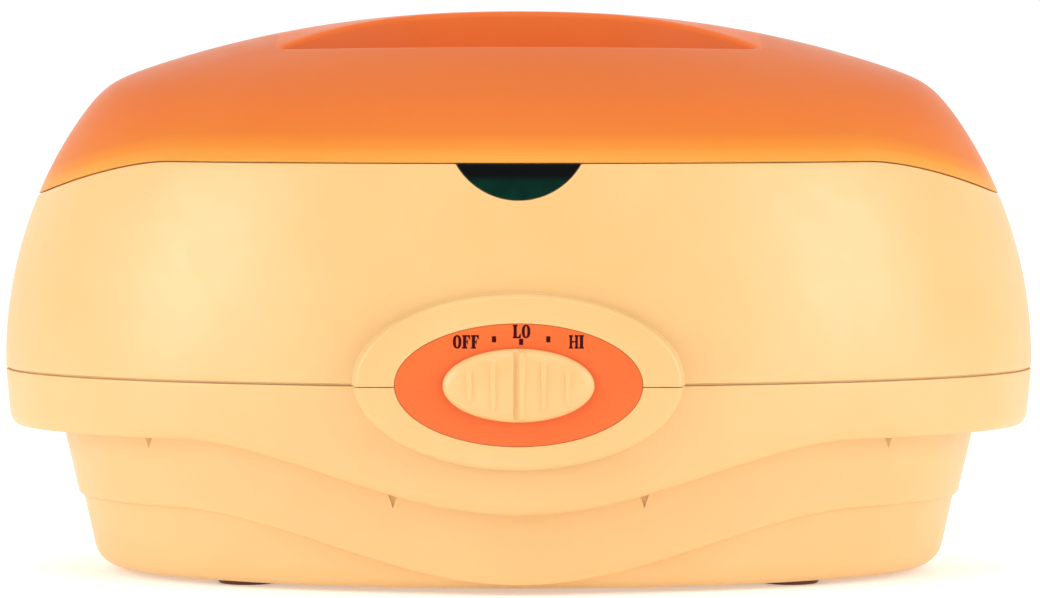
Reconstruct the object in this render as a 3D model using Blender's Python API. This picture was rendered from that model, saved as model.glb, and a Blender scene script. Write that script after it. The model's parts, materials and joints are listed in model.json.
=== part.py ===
"""Paraffin wax warmer with a lift-off lid, as an assembly of separate pieces.

Frame: metres, +Z up, +X to the right seen from the front, and the front faces -Y.
The origin lies on the floor, in the middle of the object's footprint.
"""

import math

import bmesh
import bpy
from mathutils import Vector

MM = 0.001
GAP = 0.3 * MM
HALF_GAP = GAP / 2
SIDES = 36

# Outer walls above the parting seam: two arcs whose widest level is WIDEST_Z.
WIDEST_Z = 78 * MM
END_ARC_R = 155 * MM
END_ARC_X = 34 * MM
FRONT_ARC_R = 265 * MM
FRONT_ARC_Y = -147 * MM
WALL = 2.5 * MM

# Parting seam between the two housings, and the lid seam, which dips at the ends.
PARTING_Z = 74.6 * MM
SEAM_Z = 151.8 * MM
SEAM_DIP = 13.6 * MM
DIP_START = 125 * MM
DIP_LENGTH = 51.8 * MM
SEAM_HALF_LENGTH = 176.8 * MM
SEAM_HALF_DEPTH = 107.5 * MM

# Lid crest along X, its shoulder, and the front profile through the middle.
CREST_Z = 205.5 * MM
CREST_DROP = 22.6 * MM
CREST_SPAN = 141.7 * MM
SHOULDER = 2.5 * MM
SPRING_Z = 112 * MM
FRONT_REACH = 116.5 * MM
FRONT_POWER = 2.15
LID_WALL = 2.5 * MM
LID_CLEARANCE = 0.4 * MM

# Finger scoops on both sides of the handle bar.
SCOOP_TIP = 84 * MM
SCOOP_RIM_X = 109 * MM
SCOOP_RIM_Y = 63 * MM
BAR_HALF = 12 * MM
BAR_STRAIGHT = 35 * MM
BAR_FLARE = 26.7 * MM
SCOOP_FLOOR_Z = 166 * MM

# Upstand inside the lid seam, and the deck that carries the basin.
UPSTAND_RISE = 8 * MM
UPSTAND_OUT = 3.6 * MM
UPSTAND_IN = 6.0 * MM
DECK_Z = 148 * MM
DECK_HALF = (151.8 * MM, 87.8 * MM)

# Lower housing: three tiers, the upper two ending in a wave.
TIER_HALF = ((189 * MM, 118 * MM), (168 * MM, 109.5 * MM), (160.5 * MM, 103 * MM))
TIER_DRAFT = ((0.09, 0.07), (0.23, 0.12), (0.22, 0.15))
TIER_TOP_Z = (PARTING_Z, 54 * MM, 28.3 * MM)
WAVE_DROP = (24.8 * MM, 24.4 * MM)
WAVE_HALF = 120 * MM
BASE_Z = 1.6 * MM
BASE_FILLET = 8 * MM

# Control on the front: pad, bezel, slot, knob, rack and pinion. The pad's sections pair
# a Y with an inset from its outline, both in millimetres.
PAD_HALF = (57.2 * MM, 30.6 * MM)
PAD_Z = 76.3 * MM
PAD_FACE_Y = -121 * MM
PAD_SECTIONS = ((-110.5, 0), (-118.6, 0), (-120.3, 0.8), (-121, 2.8))
CONTROL_Z = 75.3 * MM
BEZEL_HALF = (43 * MM, 21.3 * MM)
BEZEL_THICK = 1.4 * MM
KNOB_HALF = (26.3 * MM, 12.8 * MM)
KNOB_FRONT_Y = -127.5 * MM
KNOB_TRAVEL = 19.4 * MM
STEM_HALF = (3.5 * MM, 2.4 * MM)
SLOT_HALF = (KNOB_TRAVEL + STEM_HALF[0] + 1.9 * MM, 3 * MM)
RACK_Y = (-107.8 * MM, -104.8 * MM)
MODULE = 1.0 * MM
PINION_TEETH = 16
PITCH_R = MODULE * PINION_TEETH / 2
PINION_Z = 58 * MM
RACK_HALF = 42 * MM
RACK_TOP_Z = 80 * MM
RACK_TEETH = 18
PRESSURE = math.radians(20)
BACKLASH = 0.4 * MM

# Indicator window below the lid seam.
LENS_R = 25 * MM
LENS_Z = 164.3 * MM
LENS_THICK = 2 * MM

# Basin, its heater and what surrounds it.
BASIN_TOP = (150 * MM, 86 * MM)
BASIN_FLOOR = (134 * MM, 70 * MM)
BASIN_FLOOR_Z = 40 * MM
BASIN_WALL = 1.5 * MM
BASIN_POWER = 2.3
FLANGE_Z = 150.1 * MM
FLANGE_HALF = (155.5 * MM, 91.5 * MM)
GRID_Z = 46.5 * MM
GRID_THICK = 3 * MM
GRID_GAPS = 9
GRID_PITCH = 25 * MM
GRID_GAP_HALF = 8 * MM
GRID_RIM = 9 * MM
BULB_AT = (-83.5 * MM, 99 * MM)
FUSE_AT = (84.6 * MM, 104 * MM)
HEATER_SKIN = BASIN_WALL + 0.4 * MM

# Fasteners, feet and the cord gland. SCREW_Z is the step in the shelf that a head bears on.
BOSS_AT = (173 * MM, 26 * MM)
BOSS_R = 4.5 * MM
BOSS_BOTTOM_Z = 58 * MM
BOSS_TOP_Z = 119 * MM
SCREW_Z = 56.5 * MM
SCREW_WELL_R = 3.9 * MM
WELL_BOSS_R = 5.2 * MM
FOOT_AT = (97.5 * MM, 54 * MM)
GLAND_Z = 62 * MM
GLAND_TIP_Y = 127.5 * MM
BRACKET_SCREW_X = (-14 * MM, 14 * MM)
BRACKET_SCREW_Z = 97 * MM
BRACKET_Y = (-104.4 * MM, -103.2 * MM)
STUB_FRONT_Y = -116 * MM
SHAFT_HOLE_R = 3.2 * MM
SHAFT_BACK_Y = -102.8 * MM
LAMP_Z = 139.5 * MM
LAMP_BACK_Y = -90.5 * MM

# Where the cutters through the front wall start and end.
CLEAR_Y = -135 * MM
SLOT_BACK_Y = -109 * MM
LENS_BACK_Y = -104.7 * MM

COLOURS = {
    "housing_cream": ((0.98, 0.62, 0.25), 0.32, 0.0),
    "lid_orange": ((0.90, 0.20, 0.04), 0.12, 0.0),
    "bezel_orange": ((0.86, 0.16, 0.05), 0.35, 0.0),
    "lens_dark": ((0.01, 0.06, 0.04), 0.08, 0.0),
    "basin_aluminium": ((0.80, 0.81, 0.82), 0.30, 1.0),
    "grid_plastic": ((0.85, 0.83, 0.78), 0.45, 0.0),
    "zinc_steel": ((0.62, 0.63, 0.65), 0.35, 1.0),
    "dark_rubber": ((0.05, 0.02, 0.015), 0.80, 0.0),
    "seal_silicone": ((0.70, 0.68, 0.62), 0.60, 0.0),
    "felt_white": ((0.75, 0.73, 0.68), 0.95, 0.0),
    "copper_tube": ((0.80, 0.38, 0.22), 0.30, 1.0),
    "black_plastic": ((0.03, 0.03, 0.035), 0.45, 0.0),
    "white_nylon": ((0.86, 0.86, 0.82), 0.40, 0.0),
}
materials = {}


# ---------------------------------------------------------------- helpers


def clear_scene():
    for thing in list(bpy.data.objects):
        bpy.data.objects.remove(thing, do_unlink=True)


def make_materials():
    for name, (colour, roughness, metallic) in COLOURS.items():
        made = bpy.data.materials.new(name)
        made.use_nodes = True
        shader = made.node_tree.nodes["Principled BSDF"]
        shader.inputs["Base Color"].default_value = (*colour, 1.0)
        shader.inputs["Roughness"].default_value = roughness
        shader.inputs["Metallic"].default_value = metallic
        materials[name] = made


def mix(low, high, share):
    return low + (high - low) * share


def ellipse(half_x, half_y, angle, power=2.0):
    """A point of the superellipse with these half axes."""
    across = math.cos(angle)
    along = math.sin(angle)
    return (
        half_x * math.copysign(abs(across) ** (2 / power), across),
        half_y * math.copysign(abs(along) ** (2 / power), along),
    )


def turn(count=SIDES):
    return [math.tau * k / count for k in range(count)]


def flat_ring(half_x, half_y, z, power=2.0, count=SIDES):
    return [Vector((*ellipse(half_x, half_y, a, power), z)) for a in turn(count)]


def bridge(mesh, first, second):
    """Faces between two loops, either of which may be a single pole."""
    count = max(len(first), len(second))
    for k in range(count):
        ahead = (k + 1) % count
        if len(first) == 1:
            mesh.faces.new((first[0], second[ahead], second[k]))
        elif len(second) == 1:
            mesh.faces.new((first[k], first[ahead], second[0]))
        else:
            mesh.faces.new((first[k], first[ahead], second[ahead], second[k]))


def finish(name, mesh, material, origin, sharp=35):
    """Turns a bmesh in world coordinates into an object with its own origin."""
    bmesh.ops.recalc_face_normals(mesh, faces=mesh.faces)
    bmesh.ops.translate(mesh, vec=-origin, verts=mesh.verts)
    data = bpy.data.meshes.new(name)
    mesh.to_mesh(data)
    mesh.free()
    data.materials.append(materials[material])
    data.shade_smooth()
    data.set_sharp_from_angle(angle=math.radians(sharp))
    made = bpy.data.objects.new(name, data)
    made.location = origin
    bpy.context.scene.collection.objects.link(made)
    return made


def loft(name, rings, material, closed=False, origin=Vector()):
    """A skin through rings of points, capped at its ends unless it closes on itself."""
    mesh = bmesh.new()
    loops = [[mesh.verts.new(point) for point in ring] for ring in rings]
    for first, second in zip(loops, loops[1:]):
        bridge(mesh, first, second)
    if closed:
        bridge(mesh, loops[-1], loops[0])
    else:
        for end in (loops[0], loops[-1]):
            if len(end) > 2:
                mesh.faces.new(end)
    return finish(name, mesh, material, Vector(origin))


def block(name, low, high, material, origin=Vector()):
    corners = ((low[0], low[1]), (high[0], low[1]), (high[0], high[1]), (low[0], high[1]))
    rings = [[Vector((x, y, z)) for x, y in corners] for z in (low[2], high[2])]
    return loft(name, rings, material, origin=origin)


def turned(name, at, axis, profile, material, sides=16, closed=False, origin=None):
    """A solid turned about an axis through a point, from pairs of radius and height."""
    axis = Vector(axis).normalized()
    side = axis.orthogonal().normalized()
    up = axis.cross(side)
    at = Vector(at)
    rings = []
    for radius, height in profile:
        centre = at + axis * height
        if radius == 0:
            rings.append([centre])
            continue
        rings.append(
            [centre + radius * (math.cos(a) * side + math.sin(a) * up) for a in turn(sides)]
        )
    return loft(name, rings, material, closed, Vector() if origin is None else origin)


def rod(name, at, axis, radius, length, material, sides=16):
    return turned(name, at, axis, ((radius, 0), (radius, length)), material, sides)


def extruded(name, outline, y_low, y_high, material, origin=Vector()):
    """An outline of X and Z pairs, extruded along Y."""
    rings = [[Vector((x, y, z)) for x, z in outline] for y in (y_low, y_high)]
    return loft(name, rings, material, origin=origin)


def band(name, inner, outer, z_low, z_high, material):
    """An upright ring around the basin; inner and outer give half axes from a height."""
    rings = [
        flat_ring(*outer(z_low), z_low, BASIN_POWER),
        flat_ring(*outer(z_high), z_high, BASIN_POWER),
        flat_ring(*inner(z_high), z_high, BASIN_POWER),
        flat_ring(*inner(z_low), z_low, BASIN_POWER),
    ]
    return loft(name, rings, material, closed=True)


def pipe(name, route, radius, material):
    """A thin tube with closed ends along a smooth curve through the route's points."""
    points = [Vector(p) for p in route]
    padded = [points[0] * 2 - points[1], *points, points[-1] * 2 - points[-2]]
    steps = 3
    smooth = []
    for k in range(1, len(padded) - 2):
        before, start, end, after = padded[k - 1 : k + 3]
        for step in range(steps):
            t = step / steps
            smooth.append(
                0.5
                * (
                    2 * start
                    + (end - before) * t
                    + (2 * before - 5 * start + 4 * end - after) * t**2
                    + (3 * start - 3 * end + after - before) * t**3
                )
            )
    smooth.append(points[-1])
    data = bpy.data.curves.new(name, "CURVE")
    data.dimensions = "3D"
    data.bevel_depth = radius
    data.bevel_resolution = 2
    data.use_fill_caps = True
    spline = data.splines.new("POLY")
    spline.points.add(len(smooth) - 1)
    for target, point in zip(spline.points, smooth):
        target.co = (*point, 1.0)
    data.materials.append(materials[material])
    made = bpy.data.objects.new(name, data)
    bpy.context.scene.collection.objects.link(made)
    return made


def hidden(tool):
    tool.hide_render = True
    tool.display_type = "WIRE"
    return tool


def boolean(target, tool, operation):
    step = target.modifiers.new(tool.name, "BOOLEAN")
    step.operation = operation
    step.solver = "EXACT"
    step.object = hidden(tool)


def cut(target, tool):
    boolean(target, tool, "DIFFERENCE")


def join(target, tool):
    boolean(target, tool, "UNION")


# ---------------------------------------------------------------- surfaces


def wall_half(z):
    """Half length and half depth of the outer wall at a height above the parting seam."""
    rise = (z - WIDEST_Z) ** 2
    return (
        END_ARC_X + math.sqrt(END_ARC_R**2 - rise),
        FRONT_ARC_Y + math.sqrt(FRONT_ARC_R**2 - rise),
    )


def wall_point(angle, z, inset=0.0):
    half_x, half_y = wall_half(z)
    return Vector((*ellipse(half_x - inset, half_y - inset, angle), z))


def front_y(x, z, inset=0.0):
    """Y of the front wall at this place, inset towards the inside."""
    half_x, half_y = wall_half(z)
    return -(half_y - inset) * math.sqrt(1 - (x / (half_x - inset)) ** 2)


def seam_height(x):
    reach = min(max((abs(x) - DIP_START) / DIP_LENGTH, 0.0), 1.0)
    return SEAM_Z - SEAM_DIP * reach**1.6


def seam_point(angle, inset=0.0):
    z = SEAM_Z
    for _ in range(8):
        z = seam_height(wall_point(angle, z, inset).x)
    return wall_point(angle, z, inset)


def crest_height(x):
    """Height of the lid along its crest, rounded where it meets the end arc."""
    along = CREST_Z - CREST_DROP * (abs(x) / CREST_SPAN) ** 2.2
    end = WIDEST_Z + math.sqrt(END_ARC_R**2 - (abs(x) - END_ARC_X) ** 2)
    both = math.exp(-along / SHOULDER) + math.exp(-end / SHOULDER)
    return -SHOULDER * math.log(both)


def front_height(y):
    share = 1 - (abs(y) / FRONT_REACH) ** FRONT_POWER
    return SPRING_Z + (CREST_Z - SPRING_Z) * share ** (1 / FRONT_POWER)


def dome_point(angle, reach):
    """The lid's outer surface: reach is 1 at the seam and 0 at the middle."""
    rim = seam_point(angle)
    at_seam = (SEAM_Z - rim.z) / SEAM_DIP
    share = mix(math.cos(angle) ** 2, at_seam, reach**4)
    end = crest_height(SEAM_HALF_LENGTH * reach)
    front = front_height(SEAM_HALF_DEPTH * reach)
    return Vector((rim.x * reach, rim.y * reach, mix(front, end, share)))


def dome_inward(angle, reach):
    """Unit vector from the lid's surface towards its inside."""
    step = 0.001
    around = dome_point(angle + step, reach) - dome_point(angle - step, reach)
    upward = dome_point(angle, reach - step) - dome_point(angle, reach)
    return -around.cross(upward).normalized()


def lid_offset(angle, reach, depth):
    return dome_point(angle, reach) + dome_inward(angle, reach) * depth


def wave(x):
    if abs(x) >= WAVE_HALF:
        return 0.0
    return ((1 + math.cos(math.pi * x / WAVE_HALF)) / 2) ** 0.85


def tier_point(tier, angle, z, inset=0.0):
    fall = TIER_TOP_Z[tier] - z
    half_x = TIER_HALF[tier][0] - TIER_DRAFT[tier][0] * fall - inset
    half_y = TIER_HALF[tier][1] - TIER_DRAFT[tier][1] * fall - inset
    return Vector((*ellipse(half_x, half_y, angle), z))


def tier_edge(tier, angle):
    """Height of the wave that ends this tier, at this angle."""
    top = TIER_TOP_Z[tier + 1]
    return top - WAVE_DROP[tier] * wave(tier_point(tier, angle, top).x)


def basin_half(z, outside=0.0):
    """Half axes of the basin's inner face at a height, plus a distance outwards."""
    share = (z - BASIN_FLOOR_Z) / (FLANGE_Z - BASIN_FLOOR_Z)
    return tuple(mix(BASIN_FLOOR[k], BASIN_TOP[k], share) + outside for k in (0, 1))


# ---------------------------------------------------------------- lid


def scoop_outline(inset):
    """Half-moon between the front lip and the handle bar, seen from above."""
    half = SCOOP_TIP - 1.4 * inset
    steps = [k / 6 for k in range(-6, 7)]
    lip = []
    bar = []
    for step in steps:
        x = half * math.sin(step * math.pi / 2)
        lip.append((x, -SCOOP_RIM_Y * math.sqrt(1 - (x / SCOOP_RIM_X) ** 2) + inset))
        flare = max(abs(x) - BAR_STRAIGHT, 0.0) / (86 * MM - BAR_STRAIGHT)
        bar.append((x, -BAR_HALF - BAR_FLARE * flare**1.3 - inset))
    middle = (lip[-1][1] + bar[-1][1]) / 2
    tip = half + (bar[-1][1] - lip[-1][1]) / 3
    return [(-tip, middle), *lip, (tip, middle), *reversed(bar)]


def scoop(name, side, wall):
    """The space of one finger scoop, grown by a wall thickness."""
    levels = ((CREST_Z + 12 * MM, -2), (173 * MM, 1), (168.5 * MM, 2.6), (SCOOP_FLOOR_Z, 6))
    rings = []
    for z, inset in levels:
        outline = scoop_outline(inset * MM - wall)
        deeper = wall if z < 170 * MM else 0.0
        rings.append([Vector((x, side * y, z - deeper)) for x, y in outline])
    return hidden(loft(name, rings, "lid_orange"))


def make_lid():
    reaches = (1, 0.965, 0.93, 0.9, 0.87, 0.84, 0.8, 0.72, 0.6, 0.45, 0.28, 0.12)
    lift = Vector((0, 0, LID_CLEARANCE))
    outer = [[Vector((0, 0, SEAM_Z))]]
    inner = [[Vector((0, 0, 100 * MM))]]
    inner.append([seam_point(a, LID_WALL) - Vector((0, 0, 9 * MM)) for a in turn()])
    for reach in reaches:
        outer.append([dome_point(a, reach) + lift for a in turn()])
        inner.append([lid_offset(a, reach, LID_WALL) + lift for a in turn()])
    outer.append([Vector((0, 0, CREST_Z)) + lift])
    inner.append([Vector((0, 0, CREST_Z - LID_WALL)) + lift])
    lid = loft("lid", outer, "lid_orange")
    hollow = hidden(loft("lid_hollow", inner, "lid_orange"))
    for word, side in (("front", 1), ("rear", -1)):
        cut(lid, scoop(f"{word}_scoop", side, 0.0))
        cut(hollow, scoop(f"{word}_scoop_wall", side, LID_WALL))
    cut(lid, hollow)


# ---------------------------------------------------------------- housings


def upper_profile(angle):
    """Points around the upper housing's section, from the outer bottom edge."""
    bottom = PARTING_Z + HALF_GAP
    rim = seam_point(angle)
    top = rim.z - HALF_GAP
    inward = dome_inward(angle, 1.0)
    slope = dome_point(angle, 0.97) - rim
    peak = rim + slope * (UPSTAND_RISE / slope.z)
    ledge = rim + inward * UPSTAND_OUT
    ledge.z = top
    deck_edge = seam_point(angle, UPSTAND_IN + 0.5 * MM)
    deck_edge.z = min(DECK_Z, rim.z + 4 * MM)
    under = min(DECK_Z - WALL, top - WALL)
    tongue = bottom + 3.5 * MM
    points = [wall_point(angle, mix(bottom, top, k / 5)) for k in range(6)]
    points += [ledge, peak + inward * UPSTAND_OUT, peak + inward * UPSTAND_IN, deck_edge]
    for z in (DECK_Z, DECK_Z - WALL):
        points.append(Vector((*ellipse(*DECK_HALF, angle, BASIN_POWER), z)))
    points += [wall_point(angle, mix(under, tongue, k / 3), WALL) for k in range(4)]
    points += [wall_point(angle, z, 1.2 * MM) for z in (tongue, bottom)]
    return points


def half_pad(name, z_cut, upward):
    """The half of the control pad on one side of the parting seam."""
    rings = []
    for y, inset in PAD_SECTIONS:
        half_x, half_z = (half - inset * MM for half in PAD_HALF)
        start = math.asin((z_cut - PAD_Z) / half_z)
        stop = math.pi - start
        if not upward:
            start, stop = stop, start + math.tau
        steps = [mix(start, stop, k / 16) for k in range(17)]
        rings.append(
            [Vector((half_x * math.cos(a), y * MM, PAD_Z + half_z * math.sin(a))) for a in steps]
        )
    return loft(name, rings, "housing_cream")


def control_cuts(target, word):
    """The recess for the bezel and the slot for the knob's stem."""
    recess = [
        ellipse(BEZEL_HALF[0] + GAP, BEZEL_HALF[1] + GAP, a) for a in turn(32)
    ]
    outline = [(x, CONTROL_Z + z) for x, z in recess]
    floor = PAD_FACE_Y + BEZEL_THICK + 2 * GAP
    cut(target, extruded(f"{word}_bezel_recess", outline, CLEAR_Y, floor, "housing_cream"))
    low = (-SLOT_HALF[0], CLEAR_Y, CONTROL_Z - SLOT_HALF[1])
    high = (SLOT_HALF[0], SLOT_BACK_Y, CONTROL_Z + SLOT_HALF[1])
    cut(target, block(f"{word}_slot", low, high, "housing_cream"))


def corners(at):
    """The four places with this distance to the sides, counted as on a plan."""
    return [(x * at[0], y * at[1]) for y in (-1, 1) for x in (-1, 1)]


def make_upper_housing():
    columns = [upper_profile(a) for a in turn()]
    housing = loft("upper_housing", list(zip(*columns)), "housing_cream", closed=True)
    join(housing, half_pad("upper_pad", PARTING_Z + HALF_GAP, True))
    control_cuts(housing, "upper")
    at = (0, CLEAR_Y, LENS_Z)
    cut(housing, rod("window", at, (0, 1, 0), LENS_R + GAP, LENS_BACK_Y - CLEAR_Y, "lens_dark", 40))
    for k, (x, y) in enumerate(corners(BOSS_AT), 1):
        at = (x, y, BOSS_BOTTOM_Z)
        length = BOSS_TOP_Z - BOSS_BOTTOM_Z
        join(housing, rod(f"boss_{k}", at, (0, 0, 1), BOSS_R, length, "housing_cream"))
        at = (x, y, BOSS_BOTTOM_Z - 8 * MM)
        cut(housing, rod(f"boss_hole_{k}", at, (0, 0, 1), 1.7 * MM, 28 * MM, "zinc_steel", 10))
    for k, x in enumerate(BRACKET_SCREW_X, 1):
        at = (x, STUB_FRONT_Y, BRACKET_SCREW_Z)
        length = RACK_Y[1] - STUB_FRONT_Y
        join(housing, rod(f"stub_{k}", at, (0, 1, 0), 4 * MM, length, "housing_cream", 14))
        at = (x, STUB_FRONT_Y + WALL, BRACKET_SCREW_Z)
        cut(housing, rod(f"stub_hole_{k}", at, (0, 1, 0), 1.7 * MM, length, "zinc_steel", 10))


def lower_profile(angle):
    """Points down the outside of the lower housing and up its inside."""
    top = PARTING_Z - HALF_GAP
    waves = [tier_edge(0, angle), tier_edge(1, angle)]
    points = [tier_point(0, angle, top), tier_point(0, angle, 67 * MM)]
    for rise, inset in ((5, 0), (1.6, 1), (0, 3)):
        points.append(tier_point(0, angle, waves[0] + rise * MM, inset * MM))
    points += [tier_point(1, angle, waves[0]), tier_point(1, angle, waves[1] + 1.5 * MM)]
    points += [tier_point(1, angle, waves[1], 1.2 * MM), tier_point(2, angle, waves[1])]
    for share in (0.6, 0.25, 0.08, 0):
        z = mix(BASE_Z, waves[1], share)
        under = max(BASE_FILLET - (z - BASE_Z), 0.0)
        inset = BASE_FILLET - math.sqrt(BASE_FILLET**2 - under**2)
        points.append(tier_point(2, angle, z, inset))
    floor = BASE_Z + WALL
    inside = [
        tier_point(2, angle, floor, WALL + 3 * MM),
        tier_point(2, angle, waves[1] + WALL, WALL),
        tier_point(1, angle, waves[1] + WALL, WALL),
        tier_point(1, angle, waves[0] + WALL, WALL),
        tier_point(0, angle, waves[0] + WALL, WALL + 0.8 * MM),
        tier_point(0, angle, top, WALL),
    ]
    tongue = top + 3 * MM
    lip = [(tongue, WALL), (tongue, 1.5 * MM), (top, 1.5 * MM)]
    return points, inside, [tier_point(0, angle, z, inset) for z, inset in lip]


def make_lower_housing():
    columns = [lower_profile(a) for a in turn()]
    outside = list(zip(*[column[0] for column in columns]))
    inside = list(zip(*[column[1] for column in columns]))
    lip = list(zip(*[column[2] for column in columns]))
    under = [[Vector((0, 0, BASE_Z))]]
    floor = [[Vector((0, 0, BASE_Z + WALL))]]
    rings = floor + inside + lip + outside + under
    housing = loft("lower_housing", rings, "housing_cream")
    join(housing, half_pad("lower_pad", PARTING_Z - HALF_GAP, False))
    control_cuts(housing, "lower")
    low = (-60 * MM, CLEAR_Y, PARTING_Z)
    high = (60 * MM, -105 * MM, PARTING_Z + 5.4 * MM)
    cut(housing, block("tongue_gap", low, high, "housing_cream"))
    join(housing, rod("column", (0, 0, 3.5 * MM), (0, 0, 1), 9 * MM, 24 * MM, "housing_cream", 24))
    at = (0, 0, -10 * MM)
    cut(housing, rod("nut_recess", at, (0, 0, 1), 7 * MM, 22 * MM, "zinc_steel", 20))
    cut(housing, rod("stud_hole", (0, 0, 0), (0, 0, 1), 3.2 * MM, 40 * MM, "zinc_steel", 12))
    for k, (x, y) in enumerate(corners(BOSS_AT), 1):
        top = BOSS_BOTTOM_Z - GAP
        at = (x, y, TIER_TOP_Z[1] + 0.5 * MM)
        length = top - at[2]
        join(housing, rod(f"well_boss_{k}", at, (0, 0, 1), WELL_BOSS_R, length, "housing_cream", 20))
        at = (x, y, TIER_TOP_Z[1] - 4 * MM)
        length = SCREW_Z - at[2]
        cut(housing, rod(f"well_{k}", at, (0, 0, 1), SCREW_WELL_R, length, "zinc_steel", 20))
        cut(housing, rod(f"shelf_hole_{k}", at, (0, 0, 1), 1.9 * MM, 10 * MM, "zinc_steel", 10))
    for k, (x, y) in enumerate(corners(FOOT_AT), 1):
        at = (x, y, -2 * MM)
        cut(housing, rod(f"foot_hole_{k}", at, (0, 0, 1), 3.6 * MM, 12 * MM, "zinc_steel", 12))
    at = (0, 100 * MM, GLAND_Z)
    cut(housing, rod("gland_hole", at, (0, 1, 0), 7 * MM, 30 * MM, "dark_rubber", 20))


def make_housing_screws():
    """Screws sunk in the skirt's underside, up into the upper housing's bosses."""
    profile = ((0, -2.2), (2.6, -2.2), (3.4, -1.2), (3.4, -0.3), (1.4, -0.3), (1.4, 19), (0, 20))
    for k, (x, y) in enumerate(corners(BOSS_AT), 1):
        shape = [(radius * MM, height * MM) for radius, height in profile]
        at = (x, y, SCREW_Z)
        turned(f"housing_screw_{k}", at, (0, 0, 1), shape, "zinc_steel", 10)


def make_feet():
    profile = ((0, 0), (9.8, 0), (10.5, 0.7), (10.5, 1.3), (3.2, 1.3), (3.2, 6), (0, 6))
    for k, (x, y) in enumerate(corners(FOOT_AT), 1):
        shape = [(radius * MM, height * MM) for radius, height in profile]
        turned(f"rubber_foot_{k}", (x, y, 0), (0, 0, 1), shape, "dark_rubber", 16)


# ---------------------------------------------------------------- control


def make_bezel():
    outer = turn(40)
    back = PAD_FACE_Y + BEZEL_THICK
    rings = []
    for y in (back, PAD_FACE_Y):
        loop = [ellipse(*BEZEL_HALF, a) for a in outer]
        rings.append([Vector((x, y, CONTROL_Z + z)) for x, z in loop])
    for y in (PAD_FACE_Y, back):
        loop = [ellipse(*SLOT_HALF, a, 6.0) for a in outer]
        rings.append([Vector((x, y, CONTROL_Z + z)) for x, z in loop])
    loft("control_bezel", rings, "bezel_orange", closed=True)


def make_knob():
    """A rounded oval button with a flat stem that reaches the rack."""
    back = PAD_FACE_Y - GAP
    levels = ((0, 0.4), (-1.5, 0), (-3.6, 0.6), (-5.2, 2.4), (-6.2, 6))
    rings = []
    for depth, inset in levels:
        loop = [ellipse(KNOB_HALF[0] - inset * MM, KNOB_HALF[1] - inset * MM, a) for a in turn(32)]
        y = mix(back, KNOB_FRONT_Y, depth / -6.2)
        rings.append([Vector((x, y, CONTROL_Z + z)) for x, z in loop])
    knob = loft("control_knob", rings, "housing_cream", origin=Vector((0, 0, CONTROL_Z)))
    low = (-STEM_HALF[0], back - 2 * MM, CONTROL_Z - STEM_HALF[1])
    high = (STEM_HALF[0], RACK_Y[0] - GAP, CONTROL_Z + STEM_HALF[1])
    join(knob, block("knob_stem", low, high, "housing_cream"))


def make_rack():
    """A slide plate behind the wall with teeth along its lower edge."""
    pitch_z = PINION_Z + PITCH_R
    pitch = math.pi * MODULE
    tip = pitch_z - 0.9 * MODULE
    root = pitch_z + 1.2 * MODULE
    half = (pitch - BACKLASH) / 4
    outline = [(-RACK_HALF, RACK_TOP_Z), (-RACK_HALF, root)]
    for k in range(RACK_TEETH):
        x = (k - (RACK_TEETH - 1) / 2) * pitch
        wide = half + (root - pitch_z) * math.tan(PRESSURE)
        slim = half - (pitch_z - tip) * math.tan(PRESSURE)
        outline += [(x - wide, root), (x - slim, tip), (x + slim, tip), (x + wide, root)]
    outline += [(RACK_HALF, root), (RACK_HALF, RACK_TOP_Z)]
    origin = Vector((0, RACK_Y[0], CONTROL_Z))
    extruded("slider_rack", outline, *RACK_Y, "white_nylon", origin)


def involute(radius):
    """Half the angle that a tooth loses between the base circle and a radius."""
    pressure = math.acos(min(PITCH_R * math.cos(PRESSURE) / radius, 1.0))
    return math.tan(pressure) - pressure


def make_pinion():
    root = PITCH_R - 1.2 * MODULE
    tip = PITCH_R + 0.9 * MODULE
    half = (math.pi * MODULE - BACKLASH) / 4 / PITCH_R + involute(PITCH_R)
    outline = []
    for k in range(PINION_TEETH):
        middle = math.tau * k / PINION_TEETH
        flank = [(radius, half - involute(radius)) for radius in (root, PITCH_R, tip)]
        for radius, lean in flank:
            outline.append((radius, middle - lean))
        for radius, lean in reversed(flank):
            outline.append((radius, middle + lean))
    rim = [(r * math.cos(a), PINION_Z + r * math.sin(a)) for r, a in outline]
    centre = Vector((0, RACK_Y[0], PINION_Z))
    pinion = extruded("thermostat_pinion", rim, *RACK_Y, "white_nylon", centre)
    at = (0, CLEAR_Y, PINION_Z)
    cut(pinion, rod("pinion_bore", at, (0, 1, 0), 2.8 * MM, -CLEAR_Y, "zinc_steel", 14))


def make_thermostat():
    shaft = ((0, 0), (2.0, 0), (2.5, 0.5), (2.5, 15), (0, 15))
    body = ((0, 13), (2.9, 13), (2.9, 1), (2.9, 0), (13, 0), (15, 2), (15, 14), (0, 14))
    at = (0, RACK_Y[0] - 1 * MM, PINION_Z)
    shape = [(radius * MM, height * MM) for radius, height in shaft]
    turned("thermostat_shaft", at, (0, 1, 0), shape, "zinc_steel", 14, origin=Vector(at))
    shape = [(radius * MM, height * MM) for radius, height in body]
    at = (0, SHAFT_BACK_Y, PINION_Z)
    turned("thermostat_body", at, (0, 1, 0), shape, "zinc_steel", 24)


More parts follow.
